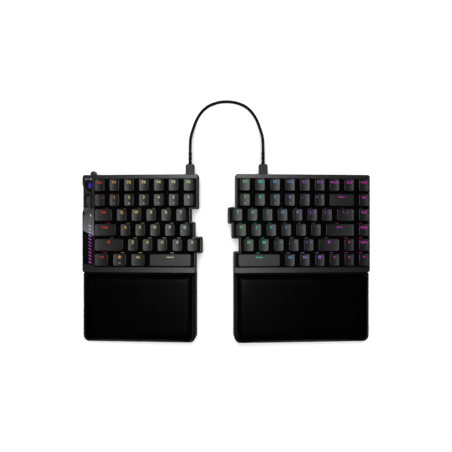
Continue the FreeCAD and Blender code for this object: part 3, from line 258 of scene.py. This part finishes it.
FINISHES = {
    "key": cap_plastic, "keys": cap_plastic, "frame": frame_plastic, "case": tray_plastic,
    "plate": coated_steel, "board": solder_mask, "switches": switch_plastic,
    "stabilisers": switch_plastic, "battery": foil, "port": plated_steel, "feet": rubber,
    "screws": black_screw, "encoder": switch_plastic, "plug": plug_plastic, "wheel": dark_plastic,
    "lever": frame_plastic, "foot": tray_plastic, "base": tray_plastic, "pad": pad_skin,
    "cable": cable_braid,
}


def coat(mesh, finish):
    mesh.materials.clear()
    mesh.materials.append(finish)


for label, node in nodes.items():
    coat(node.data, FINISHES.get(label.split("_")[-1], dark_plastic))

# The side panel is paler towards the front
made = Nodes("side_panel")
shader = made.surface(((70, 70, 73), (74, 74, 77)), (0.35, 0.42), specular=0.15, grain=3000)
tones = [(0.0, linear((108, 106, 110))), (0.45, linear((86, 84, 88))), (0.75, linear((68, 67, 70))),
         (1.0, linear((48, 47, 50)))]
made.join(made.ramp(made.along("Y", 0.030, 0.062), tones), shader.inputs["Base Color"])
coat(nodes["left_side_panel"].data, made.material)

# Light bars, status light and corner light: their colour changes along the strip
made = Nodes("lit_strip")
strip = made.add("ShaderNodeEmission")
bar_colours = [
    (0.00, linear((172, 112, 160))), (0.20, linear((152, 88, 152))), (0.345, linear((158, 104, 182))),
    (0.365, linear((188, 164, 214))), (0.47, linear((198, 192, 215))), (0.57, linear((200, 197, 212))),
    (0.60, linear((215, 215, 220))), (0.80, linear((215, 215, 220))), (0.86, linear((84, 50, 182))),
    (1.00, linear((84, 50, 182)))]
made.join(made.ramp(made.along("Y", -0.010, 0.095), bar_colours), strip.inputs["Color"])
# Each light is brightest over its middle
bright = [(0.0, 0.1), (0.24, 0.2), (0.43, 0.87), (0.57, 0.87), (0.76, 0.2), (1.0, 0.1)]
bright = [(place, (level, level, level, 1)) for place, level in bright]
made.join(made.ramp(made.along("X", -0.1805, -0.1721), bright), strip.inputs["Strength"])
made.join(strip.outputs[0], made.out.inputs["Surface"])
coat(nodes["left_light_bar"].data, made.material)

# The gloss panel glows a little on both sides of the light bars
made = Nodes("gloss_panel")
shader = made.surface(((4, 4, 5), (9, 9, 10)), (0.12, 0.20), specular=0.2)
halo = made.ramp(made.along("X", -0.1805, -0.1705), [
    (0.0, (0, 0, 0, 1)), (0.2, (0.004, 0.0004, 0.005, 1)), (0.5, (0.019, 0.0006, 0.022, 1)),
    (0.8, (0.004, 0.0004, 0.005, 1)), (1.0, (0, 0, 0, 1))])
made.join(halo, shader.inputs["Emission Color"])
shader.inputs["Emission Strength"].default_value = 1.0
coat(nodes["left_gloss_panel"].data, made.material)


def geometry_group(name, *kinds):
    """A group of geometry nodes with one geometry socket each way, and its nodes."""
    group = bpy.data.node_groups.new(name, "GeometryNodeTree")
    for way in ("INPUT", "OUTPUT"):
        group.interface.new_socket("Geometry", in_out=way, socket_type="NodeSocketGeometry")
    return group, [group.nodes.new(kind) for kind in kinds]


def wire(group, *pairs):
    for start, end in pairs:
        group.links.new(start, end)


# The CAD meshes have a separate edge round every face, so they are joined before their edges are rounded
joining, chain = geometry_group("join_faces", "NodeGroupInput", "GeometryNodeRemoveAttribute",
                                "GeometryNodeMergeByDistance", "NodeGroupOutput")
chain[1].inputs["Name"].default_value = "custom_normal"
chain[2].inputs["Distance"].default_value = 0.000002
wire(joining, *[(start.outputs[0], end.inputs["Geometry"]) for start, end in zip(chain, chain[1:])])

# The dished tops are shaded as one smooth hollow: only edges sharper than this stay sharp
CREASE = math.radians(12)
smoothing, (given, faces, edges, result, angle, sharper) = geometry_group(
    "smooth_dish", "NodeGroupInput", "GeometryNodeSetShadeSmooth", "GeometryNodeSetShadeSmooth", "NodeGroupOutput",
    "GeometryNodeInputMeshEdgeAngle", "FunctionNodeCompare")
sharper.data_type, sharper.operation = "FLOAT", "GREATER_THAN"
sharper.inputs[1].default_value = CREASE
faces.domain, edges.domain = "FACE", "EDGE"
edges.inputs["Shade Smooth"].default_value = False
wire(smoothing, (given.outputs[0], faces.inputs["Geometry"]), (faces.outputs[0], edges.inputs["Geometry"]),
     (edges.outputs[0], result.inputs[0]), (angle.outputs["Unsigned Angle"], sharper.inputs[0]),
     (sharper.outputs[0], edges.inputs["Selection"]))

# Upright and rounded faces come matt out of the mould: those that face less far up than this
UPWARD = 0.9
walls, (given, matt, result, normal, parts, lower) = geometry_group(
    "matt_walls", "NodeGroupInput", "GeometryNodeSetMaterial", "NodeGroupOutput", "GeometryNodeInputNormal",
    "ShaderNodeSeparateXYZ", "FunctionNodeCompare")
lower.data_type, lower.operation = "FLOAT", "LESS_THAN"
lower.inputs[1].default_value = UPWARD
matt.inputs["Material"].default_value = wall_plastic
wire(walls, (given.outputs[0], matt.inputs["Geometry"]), (matt.outputs[0], result.inputs[0]),
     (normal.outputs[0], parts.inputs[0]), (parts.outputs["Z"], lower.inputs[0]),
     (lower.outputs[0], matt.inputs["Selection"]))

# Fine bevels, in metres, on the pieces whose edges catch the light
BEVELS = {"key": 0.0004, "keys": 0.0004, "frame": 0.0003, "lever": 0.0004, "wheel": 0.0001, "plug": 0.0004}
for label, node in nodes.items():
    kind = label.split("_")[-1]
    if kind in BEVELS:
        node.modifiers.new("join", "NODES").node_group = joining
        if kind in ("key", "keys"):
            flatten = node.modifiers.new("flatten", "DECIMATE")
            flatten.decimate_type, flatten.angle_limit = "DISSOLVE", math.radians(0.5)
        bevel = node.modifiers.new("edge", "BEVEL")
        bevel.width = BEVELS[kind]
        bevel.segments = 2
        bevel.limit_method = "ANGLE"
        bevel.angle_limit = math.radians(30)
        bevel.harden_normals = False
        node.modifiers.new("weld", "WELD").merge_threshold = 0.00002
        node.modifiers.new("dish", "NODES").node_group = smoothing
    if kind in ("key", "keys", "frame"):
        node.modifiers.new("walls", "NODES").node_group = walls

# Cable: the route's control points, as in part.py
ROUTE = [
    (-0.04626, 0.13500, 0.02024), (-0.04626, 0.14400, 0.02024), (-0.04626, 0.15500, 0.01512),
    (-0.04414, 0.16600, 0.00744), (-0.04051, 0.17800, 0.00268), (-0.03623, 0.18680, 0.00195),
    (-0.02950, 0.19510, 0.00195), (-0.02083, 0.20120, 0.00195), (-0.00718, 0.20540, 0.00195),
    (0.00883, 0.20540, 0.00195), (0.02248, 0.20120, 0.00195), (0.03114, 0.19510, 0.00195),
    (0.03787, 0.18680, 0.00195), (0.04216, 0.17800, 0.00272), (0.04578, 0.16600, 0.00771),
    (0.04790, 0.15500, 0.01577), (0.04790, 0.14400, 0.02115), (0.04790, 0.13500, 0.02115),
]
CABLE_RADIUS = 0.00195


def route_curve():
    curve = bpy.data.curves.new("route", "CURVE")
    curve.dimensions = "3D"
    curve.resolution_u = 8
    spline = curve.splines.new("NURBS")
    spline.points.add(len(ROUTE) - 1)
    for point, spot in zip(spline.points, ROUTE):
        point.co = (*spot, 1)
    spline.order_u = 3
    spline.use_endpoint_u = True
    return curve


def as_mesh(data, name):
    """Mesh of a curve or text, and nothing left of its object."""
    holder = bpy.data.objects.new("holder", data)
    bpy.context.scene.collection.objects.link(holder)
    bpy.context.view_layer.update()
    graph = bpy.context.evaluated_depsgraph_get()
    mesh = bpy.data.meshes.new_from_object(holder.evaluated_get(graph))
    mesh.name = name
    bpy.data.objects.remove(holder)
    return mesh


def piece(name, mesh, finish, smooth=False):
    made = bpy.data.objects.new(name, mesh)
    bpy.context.scene.collection.objects.link(made)
    coat(mesh, finish)
    for face in mesh.polygons:
        face.use_smooth = smooth
    return made


curve = route_curve()
path = [vertex.co.copy() for vertex in as_mesh(curve, "path").vertices]
curve.bevel_depth = CABLE_RADIUS
curve.bevel_resolution = 4
curve.use_fill_caps = True
cable = piece("bridge_cable_jacket", as_mesh(curve, "cable"), cable_braid, smooth=True)

# Length of the route up to each of its points
runs = [0]
for a, b in zip(path, path[1:]):
    runs.append(runs[-1] + (b - a).length)

# Where each corner of the cable's faces is: metres along it, and turns round it
ring_size = len(cable.data.vertices) // len(path)
wound = cable.data.attributes.new("wound", "FLOAT_VECTOR", "CORNER")
for face in cable.data.polygons:
    turns = [index % ring_size for index in face.vertices]
    closing = max(turns) - min(turns) > ring_size / 2
    for corner, index, turn in zip(face.loop_indices, face.vertices, turns):
        turn = ring_size if closing and turn == 0 else turn
        wound.data[corner].vector = (runs[min(index // ring_size, len(runs) - 1)], turn / ring_size, 0)
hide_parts("bridge_cable")
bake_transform(cable)


# Legends: each row from the outer end inwards, as (node, units, legend, second legend)
def row(*keys):
    return [(*key, "") if len(key) == 3 else key for key in keys]


def run(node, *legends):
    return [(node, 1, *(legend if isinstance(legend, tuple) else (legend, ""))) for legend in legends]


KEYS = {
    "left": [
        row(("escape_key", 1, "Esc")) + run("left_function_keys", "F1", "F2", "F3", "F4", "F5", "F6"),
        run("left_number_keys", "` ~", ("1", "!"), ("2", "@"), ("3", "#"), ("4", "$"), ("5", "%"), ("6", "^")),
        row(("tab_key", 1.5, "Tab")) + run("left_upper_keys", "Q", "W", "E", "R", "T"),
        row(("caps_key", 1.75, "Caps")) + run("left_home_keys", "A", "S", "D", "F", "G"),
        row(("left_shift_key", 2.25, "*shift")) + run("left_lower_keys", "Z", "X", "C", "V", "B"),
        row(("left_modifier_keys", MODIFIER, "Ctrl"), ("left_modifier_keys", MODIFIER, "*diamond", "*short"),
            ("left_modifier_keys", MODIFIER, "Alt"), ("left_space_key", SPACE, "*bar")),
    ],
    "right": [
        run("right_function_keys", "PrtSc", "End", "Home", "F12", "F11", "F10", "F9", "F8", "F7"),
        run("navigation_keys", "Ins") + row(("backspace_key", 2, "*left_long"))
        + run("right_number_keys", "= +", "- _", ("0", ")"), ("9", "("), ("8", "*"), ("7", "&")),
        run("navigation_keys", "Del") + row(("backslash_key", 1.5, "\\ |"))
        + run("right_upper_keys", "] }", "[ {", "P", "O", "I", "U", "Y"),
        run("navigation_keys", "PgUp") + row(("enter_key", 2.25, "*left_long"))
        + run("right_home_keys", "' \"", "; :", "L", "K", "J", "H"),
        run("navigation_keys", "PgDn") + run("arrow_keys", "*up") + row(("right_shift_key", 1.75, "*shift"))
        + run("right_lower_keys", "/ ?", ". >", ", <", "M", "N"),
        run("arrow_keys", "*right", "*down", "*left") + run("right_modifier_keys", "*ring", "Fn", "Alt")
        + row(("right_space_key", SPACE, "*bar")),
    ],
}


def arrow(turn, scale=1.15):
    """Arrow turned by quarter turns from pointing up."""
    points = [(0, 1.3), (1.3, 0), (0.4, 0), (0.4, -1.2), (-0.4, -1.2), (-0.4, 0), (-1.3, 0)]
    swing = Matrix.Rotation(turn * math.pi / 2, 2)
    return [[tuple(swing @ Vector(p) * scale) for p in points]]


def ring(outer, inner, count=16):
    """Ring of flat quads."""
    spots = [(math.cos(2 * math.pi * i / count), math.sin(2 * math.pi * i / count)) for i in range(count)]
    quads = []
    for i, (a, b) in enumerate(spots):
        c, d = spots[(i + 1) % count]
        quads.append([(a * inner, b * inner), (a * outer, b * outer), (c * outer, d * outer), (c * inner, d * inner)])
    return quads


# Plain marks, in millimetres round the legend's own middle
MARKS = {
    "*up": arrow(0), "*shift": arrow(0, 1.7), "*left": arrow(1), "*down": arrow(2), "*right": arrow(3),
    "*bar": [[(-4.6, -0.55), (4.6, -0.55), (4.6, 0.55), (-4.6, 0.55)]],
    "*short": [[(-1.6, -0.35), (1.6, -0.35), (1.6, 0.35), (-1.6, 0.35)]],
    "*diamond": [[(0, -2.4), (2.4, 0), (0, 2.4), (-2.4, 0)]],
    "*ring": ring(2.2, 0.5),
    "*left_long": [[(-4.5, 0), (-2.8, 1.3), (-2.8, 0.4), (3.6, 0.4), (3.6, -0.4), (-2.8, -0.4), (-2.8, -1.3)]],
}


# Share of the font's size that its capitals are high
CAPITALS = 0.73


def glyphs(text, height, bold, wide=1.0):
    """Flat mesh of a legend, its capitals that high, with its middle at the origin."""
    shape = bmesh.new()
    if text in MARKS:
        for outline in MARKS[text]:
            shape.faces.new([shape.verts.new((x / 1000, y / 1000, 0)) for x, y in outline])
        return shape
    data = bpy.data.curves.new("legend", "FONT")
    data.body = text.replace(" ", "   ")  # paired legends stand well apart
    data.align_x = "CENTER"
    data.size = height / CAPITALS
    data.offset = bold
    data.resolution_u = 4
    mesh = as_mesh(data, "legend")
    shape.from_mesh(mesh)
    bpy.data.meshes.remove(mesh)
    bpy.data.curves.remove(data)
    bmesh.ops.translate(shape, vec=(0, -height / 2, 0), verts=shape.verts)
    bmesh.ops.scale(shape, vec=(wide, 1, 1), verts=shape.verts)
    return shape


def cap_top(units):
    """Half the width of a cap's top."""
    return (units * PITCH - (PITCH - CAP_TOP_WIDTH)) / 2


# Paint above the cap, points nearer than this joined, and smallest face kept
LIFT, JOINED, SLIVER = 0.00004, 5e-6, 2e-12


def on_cap(shape, x, y, units, dished, offset):
    """Lay a legend on its cap's dished top, in the half's frame."""
    half = cap_top(units)
    floor = half - DISH_SLOPE
    bmesh.ops.translate(shape, vec=(0, offset, 0), verts=shape.verts)
    if dished:
        for crease in (-floor, floor):
            bmesh.ops.bisect_plane(shape, geom=shape.verts[:] + shape.edges[:] + shape.faces[:], dist=1e-7,
                                   plane_co=(crease, 0, 0), plane_no=(1, 0, 0))
    bmesh.ops.remove_doubles(shape, verts=shape.verts, dist=JOINED)
    bmesh.ops.triangulate(shape, faces=shape.faces)
    slivers = [face for face in shape.faces if face.calc_area() < SLIVER]
    bmesh.ops.delete(shape, geom=slivers, context="FACES_ONLY")
    for vertex in shape.verts:
        sink = 0
        if dished:
            sink = DISH_DEPTH * min(1, max(0, (half - abs(vertex.co.x)) / DISH_SLOPE))
        vertex.co = (vertex.co.x + x, vertex.co.y + y + CAP_SHIFT, CAP_LIFT + CAP_HEIGHT - sink + LIFT)


def settle(name, shape, side):
    """Mesh of a shape made in the half's frame, put where the half is."""
    mesh = bpy.data.meshes.new(name)
    shape.to_mesh(mesh)
    shape.free()
    mesh.transform(HALF[side])
    return mesh


def add_to(whole, shape):
    mesh = bpy.data.meshes.new("part")
    shape.to_mesh(mesh)
    shape.free()
    whole.from_mesh(mesh)
    bpy.data.meshes.remove(mesh)


# Heights and widths of legends by their number of letters, their strokes, and their places on the cap
HEIGHTS, LONG_HEIGHT, SECOND_HEIGHT = {1: 0.0035, 2: 0.0031, 3: 0.0030, 4: 0.0026}, 0.0024, 0.0021
WIDTHS, LONG_WIDTH = {1: 1.0, 2: 1.28}, 1.12
BOLD, FINE = 0.0002, 0.00012
FIRST_PLACE, SECOND_PLACE = 0.0037, -0.0040
# Light that shows on the plate behind each cap
WINDOW, WINDOW_LIFT = [(-0.0018, 0.0082), (0.0024, 0.0084), (0.0018, 0.0096), (-0.0024, 0.0092)], 0.0002
for side, rows in KEYS.items():
    first, second, glow = {}, {}, bmesh.new()
    for number, keys in enumerate(rows):
        reached = 0
        middle_y = (5.5 - number) * PITCH
        for node, units, text, below in keys:
            middle_x = INWARD[side] * (reached + units / 2) * PITCH
            reached += units
            dished = "space" not in node
            height, width = HEIGHTS.get(len(text), LONG_HEIGHT), WIDTHS.get(len(text), LONG_WIDTH)
            shape = glyphs(text, height, BOLD if len(text) < 3 else FINE, width)
            on_cap(shape, middle_x, middle_y, units, dished, FIRST_PLACE)
            add_to(first.setdefault(node, bmesh.new()), shape)
            if below:
                shape = glyphs(below, SECOND_HEIGHT, FINE)
                on_cap(shape, middle_x, middle_y, units, dished, SECOND_PLACE)
                add_to(second.setdefault(node, bmesh.new()), shape)
            window = bmesh.new()
            window.faces.new([window.verts.new((middle_x + x, middle_y + y, PLATE_TOP + WINDOW_LIFT))
                              for x, y in WINDOW])
            add_to(glow, window)
    for words, finish, ending in ((first, legend_light, "legend"), (second, second_light, "second_legend")):
        for node, shape in words.items():
            name = f"{node}_{ending}"
            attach(piece(name, settle(name, shape, side), finish), node)
    name = f"{side}_backlight"
    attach(piece(name, settle(name, glow, side), gap_light), f"{side}_half")


# Control strip: plain printed marks, the dark ground of the corner light, painted shade round the wheel, a painted
# highlight on the raised shoulder of the panel and painted shade along a crease, as outlines in millimetres in the
# half's frame, a hair above its top at 17 mm
def flat_marks(name, finish, height, *outlines):
    """Thin flat faces that lie on the strip and ride on the left half."""
    shape = bmesh.new()
    for outline in outlines:
        shape.faces.new([shape.verts.new((x / 1000, y / 1000, height / 1000)) for x, y in outline])
    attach(piece(name, settle(name, shape, "left"), finish), "left_half")


def block(x, y, width, depth):
    return [(x - width / 2, y - depth / 2), (x + width / 2, y - depth / 2),
            (x + width / 2, y + depth / 2), (x - width / 2, y + depth / 2)]


flat_marks("left_strip_marks", mark_paint, 17.03, block(-11.2, 113.8, 1.5, 1.7), block(-8.4, 113.8, 0.8, 1.7),
           block(-4.9, 113.8, 2.0, 1.7))
flat_marks("left_panel_marks", mark_paint, 17.03, block(-6.2, 62.4, 1.0, 0.7), block(-4.0, 62.4, 1.0, 0.7))
flat_marks("left_lamp_ground", dark_ground_and_painted_shade, 17.01,
           [(-12.6, 111.6), (-12.6, 103.5), (-8.0, 98.6), (-3.0, 96.6), (-3.0, 111.6)])
# Painted shade: a dark ring round the wheel stands for the shaded gap of its slot
flat_marks("left_wheel_painted_shade", dark_ground_and_painted_shade, 17.03,
           [(-12.8, 77.9), (-11.0, 76.3), (-11.0, 94.3), (-12.8, 92.6)],
           [(-11.0, 92.7), (-3.1, 92.7), (-3.1, 93.4), (-4.2, 94.3), (-11.0, 94.3)],
           [(-11.0, 76.3), (-4.2, 76.3), (-3.1, 77.1), (-11.0, 77.1)])
# Painted highlight: a light grey patch where the shoulder's slope catches the light
flat_marks("left_strip_shoulder_highlight", shoulder_painted_highlight, 17.01, [(-13.8, 77.6), (-13.8, 69.8), (-6.2, 75.4), (-5.2, 77.6)])
# Painted shade: a dark stripe along the crease
flat_marks("left_strip_crease_shade", crease_painted_shade, 17.02, [(-11.9, 100.3), (-11.4, 99.6), (-2.6, 95.4), (-2.6, 96.2)])

# Wrist pads: a start shape a little smaller than the CAD cushion, stuffed by a short cloth simulation
REST_OUT, REST_IN, REST_DEPTH = 0.0022, 0.0013, 0.0907
REST_REAR = -0.0075
SPANS = {"left": (0.0162 + REST_OUT, (3 * MODIFIER + SPACE) * PITCH + 0.00105 - REST_IN),
         "right": (0.0015 + REST_OUT, (6 + SPACE) * PITCH + 0.00105 - REST_IN)}
# How far each level is drawn in from the outline, and its height in the half's frame
LEVELS = [(0.0020, 0.0068), (0.0009, 0.0085), (0.0008, 0.0130), (0.0014, 0.0148), (0.0034, 0.0158), (0.0110, 0.0160)]
# Rounding of the pad's corners in front and behind, and steps in each
FRONT_CORNER, REAR_CORNER, CORNER_STEPS = 0.008, 0.0034, 6
# Size of the mesh's cells, how far it swells at most, and the share of stuffing
VOXEL, SWELL, FILL = 0.004, 0.0011, 0.55
# Pressure inside while it is blown up, for how many frames, and the height of the part that doesn't sink
PRESSURE, FRAMES, STANDING = 4, 20, 0.0006
# How far in from the edge the seam cord lies, and half its thickness
SEAM_INSET, SEAM_RADIUS = 0.0052, 0.00022


def pad_outline(side, inset, height):
    """Rounded outline of a wrist pad, in the half's frame."""
    out, far = SPANS[side]
    low, high = (-out, far) if side == "left" else (-far, out)
    points = []
    front, rear = REST_REAR - REST_DEPTH, REST_REAR
    corners = [(low, front, 1, 1, FRONT_CORNER, 180), (high, front, -1, 1, FRONT_CORNER, 270),
               (high, rear, -1, -1, REAR_CORNER, 0), (low, rear, 1, -1, REAR_CORNER, 90)]
    for x, y, sx, sy, radius, turn in corners:
        middle_x, middle_y = x + sx * (inset + radius), y + sy * (inset + radius)
        for i in range(CORNER_STEPS + 1):
            bearing = math.radians(turn + 90 * i / CORNER_STEPS)
            points.append((middle_x + radius * math.cos(bearing), middle_y + radius * math.sin(bearing), height))
    return points


def swell(pad, most):
    """Blow the pad up from inside, and let no point move further than most."""
    start = [vertex.co.copy() for vertex in pad.data.vertices]
    cloth = pad.modifiers.new("cloth", "CLOTH")
    cloth.settings.use_pressure = True
    cloth.settings.uniform_pressure_force = PRESSURE
    cloth.settings.effector_weights.gravity = 0
    cloth.settings.quality = 6
    cloth.point_cache.frame_start, cloth.point_cache.frame_end = 1, FRAMES
    for number in range(1, FRAMES + 1):
        bpy.context.scene.frame_set(number)
    graph = bpy.context.evaluated_depsgraph_get()
    blown = [vertex.co.copy() for vertex in pad.evaluated_get(graph).data.vertices]
    pad.modifiers.remove(cloth)
    bpy.context.scene.frame_set(1)
    for vertex, old, new in zip(pad.data.vertices, start, blown):
        step = new - old
        if step.length > most:
            step = step * (most / step.length)
        if old.z < LEVELS[0][1] + STANDING:
            step.z = max(step.z, 0)
        vertex.co = old + step


def evaluated(thing, name):
    """The thing's mesh with its modifiers applied."""
    graph = bpy.context.evaluated_depsgraph_get()
    mesh = bpy.data.meshes.new_from_object(thing.evaluated_get(graph))
    mesh.name = name
    return mesh


for side in INWARD:
    shape = bmesh.new()
    rings = [[shape.verts.new(spot) for spot in pad_outline(side, *level)] for level in LEVELS]
    count = len(rings[0])
    for lower, upper in zip(rings, rings[1:]):
        for i in range(count):
            j = (i + 1) % count
            shape.faces.new([lower[i], lower[j], upper[j], upper[i]])
    shape.faces.new(rings[0][::-1])
    shape.faces.new(rings[-1])
    mesh = bpy.data.meshes.new("start")
    shape.to_mesh(mesh)
    shape.free()
    pad = piece(f"{side}_rest_cushion", mesh, pad_skin, smooth=True)
    remesh = pad.modifiers.new("even", "REMESH")
    remesh.mode, remesh.voxel_size = "VOXEL", VOXEL
    even = evaluated(pad, "even")
    pad.modifiers.remove(remesh)
    pad.data = even
    swell(pad, SWELL)
    finer = pad.modifiers.new("finer", "SUBSURF")
    finer.levels = finer.render_levels = 1
    smooth = evaluated(pad, f"{side}_rest_cushion")
    pad.modifiers.remove(finer)
    pad.data = smooth
    # The seam cord lies on the cushion, a little in from its edge
    skin = BVHTree.FromPolygons([v.co for v in smooth.vertices], [p.vertices for p in smooth.polygons])
    above, down = 0.05, Vector((0, 0, -1))
    top = [skin.ray_cast(Vector(spot), down)[0] for spot in pad_outline(side, SEAM_INSET, above)]
    curve = bpy.data.curves.new("seam", "CURVE")
    curve.dimensions = "3D"
    spline = curve.splines.new("POLY")
    spline.points.add(len(top) - 1)
    for point, spot in zip(spline.points, top):
        point.co = (*spot, 1)
    spline.use_cyclic_u = True
    curve.bevel_depth = SEAM_RADIUS
    curve.bevel_resolution = 1
    seam = piece(f"{side}_rest_seam", as_mesh(curve, f"{side}_rest_seam"), seam_thread, smooth=True)
    smooth.transform(HALF[side])
    seam.data.transform(HALF[side])
    coat(smooth, pad_skin)
    for face in smooth.polygons:
        face.use_smooth = True
    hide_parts(f"{side}_wrist_pad")
    for thing in (pad, seam):
        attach(thing, f"{side}_wrist_rest")


# Light: one large soft box above and behind the keyboard, pointing straight down
lamp_data = bpy.data.lights.new("overhead", "AREA")
lamp_data.shape = "RECTANGLE"
lamp_data.size, lamp_data.size_y = 0.78, 1.25
lamp_data.energy = 29.5
lamp = bpy.data.objects.new("overhead", lamp_data)
lamp.location = (-0.05, 0.37, 1.6)
bpy.context.scene.collection.objects.link(lamp)

# World: the strength of the room's light, and the heights between which the white backdrop fades out
ROOM_LIGHT, FADE_LOW, FADE_HIGH = 0.06, 0.12, 0.30
world = bpy.data.worlds.new("studio")
bpy.context.scene.world = world
world.use_nodes = True
world.node_tree.nodes.clear()


def world_node(kind, *links):
    """A node of the world, its inputs joined or set in order."""
    node = world.node_tree.nodes.new(kind)
    for socket, value in links:
        if isinstance(value, bpy.types.NodeSocket):
            world.node_tree.links.new(value, node.inputs[socket])
        else:
            node.inputs[socket].default_value = value
    return node


def world_maths(operation, a, b):
    node = world_node("ShaderNodeMath", (0, a), (1, b))
    node.operation = operation
    return node.outputs[0]


rays = world_node("ShaderNodeLightPath").outputs
height = world_node("ShaderNodeSeparateXYZ", (0, world_node("ShaderNodeTexCoord").outputs["Generated"])).outputs["Z"]
# The backdrop stands round the horizon; glossy and transmitted rays see it too
fade = world_node("ShaderNodeMapRange", ("Value", height), ("From Min", FADE_LOW), ("From Max", FADE_HIGH),
                  ("To Min", 1.0), ("To Max", 0.0)).outputs["Result"]
mirrored = world_maths("MULTIPLY", world_maths("MAXIMUM", rays["Is Glossy Ray"], rays["Is Transmission Ray"]), fade)
shown = world_maths("MAXIMUM", rays["Is Camera Ray"], mirrored)
room = world_node("ShaderNodeBackground", ("Color", (1, 1, 1, 1)), ("Strength", ROOM_LIGHT)).outputs[0]
white = world_node("ShaderNodeBackground", ("Color", (1, 1, 1, 1)), ("Strength", 1.0)).outputs[0]
both = world_node("ShaderNodeMixShader", (0, shown), (1, room), (2, white)).outputs[0]
world_node("ShaderNodeOutputWorld", ("Surface", both))

# Pale floor: rays that look at it see it this much brighter, up to white
FLOOR_LIFT = 0.25
floor_mesh = bpy.data.meshes.new("floor")
floor_mesh.from_pydata([(-2, -2, 0), (2, -2, 0), (2, 2, 0), (-2, 2, 0)], [], [(0, 1, 2, 3)])
floor = bpy.data.objects.new("floor", floor_mesh)
bpy.context.scene.collection.objects.link(floor)
made = Nodes("floor")
shader = made.add("ShaderNodeBsdfDiffuse")
made.join(made.ramp(made.noise(3), [(0.3, (0.93, 0.93, 0.93, 1)), (0.7, (0.95, 0.95, 0.95, 1))]),
          shader.inputs["Color"])
rays = made.add("ShaderNodeLightPath").outputs
seen = made.maths("MAXIMUM", rays["Is Camera Ray"], rays["Is Glossy Ray"])
seen = made.maths("MAXIMUM", seen, rays["Is Transmission Ray"])
lift = made.add("ShaderNodeEmission")
lift.inputs["Color"].default_value = (1, 1, 1, 1)
made.join(made.maths("MULTIPLY", seen, FLOOR_LIFT), lift.inputs["Strength"])
total = made.add("ShaderNodeAddShader")
made.join(shader.outputs[0], total.inputs[0])
made.join(lift.outputs[0], total.inputs[1])
made.join(total.outputs[0], made.out.inputs["Surface"])
floor_mesh.materials.append(made.material)

bpy.context.scene.view_settings.view_transform = "Standard"
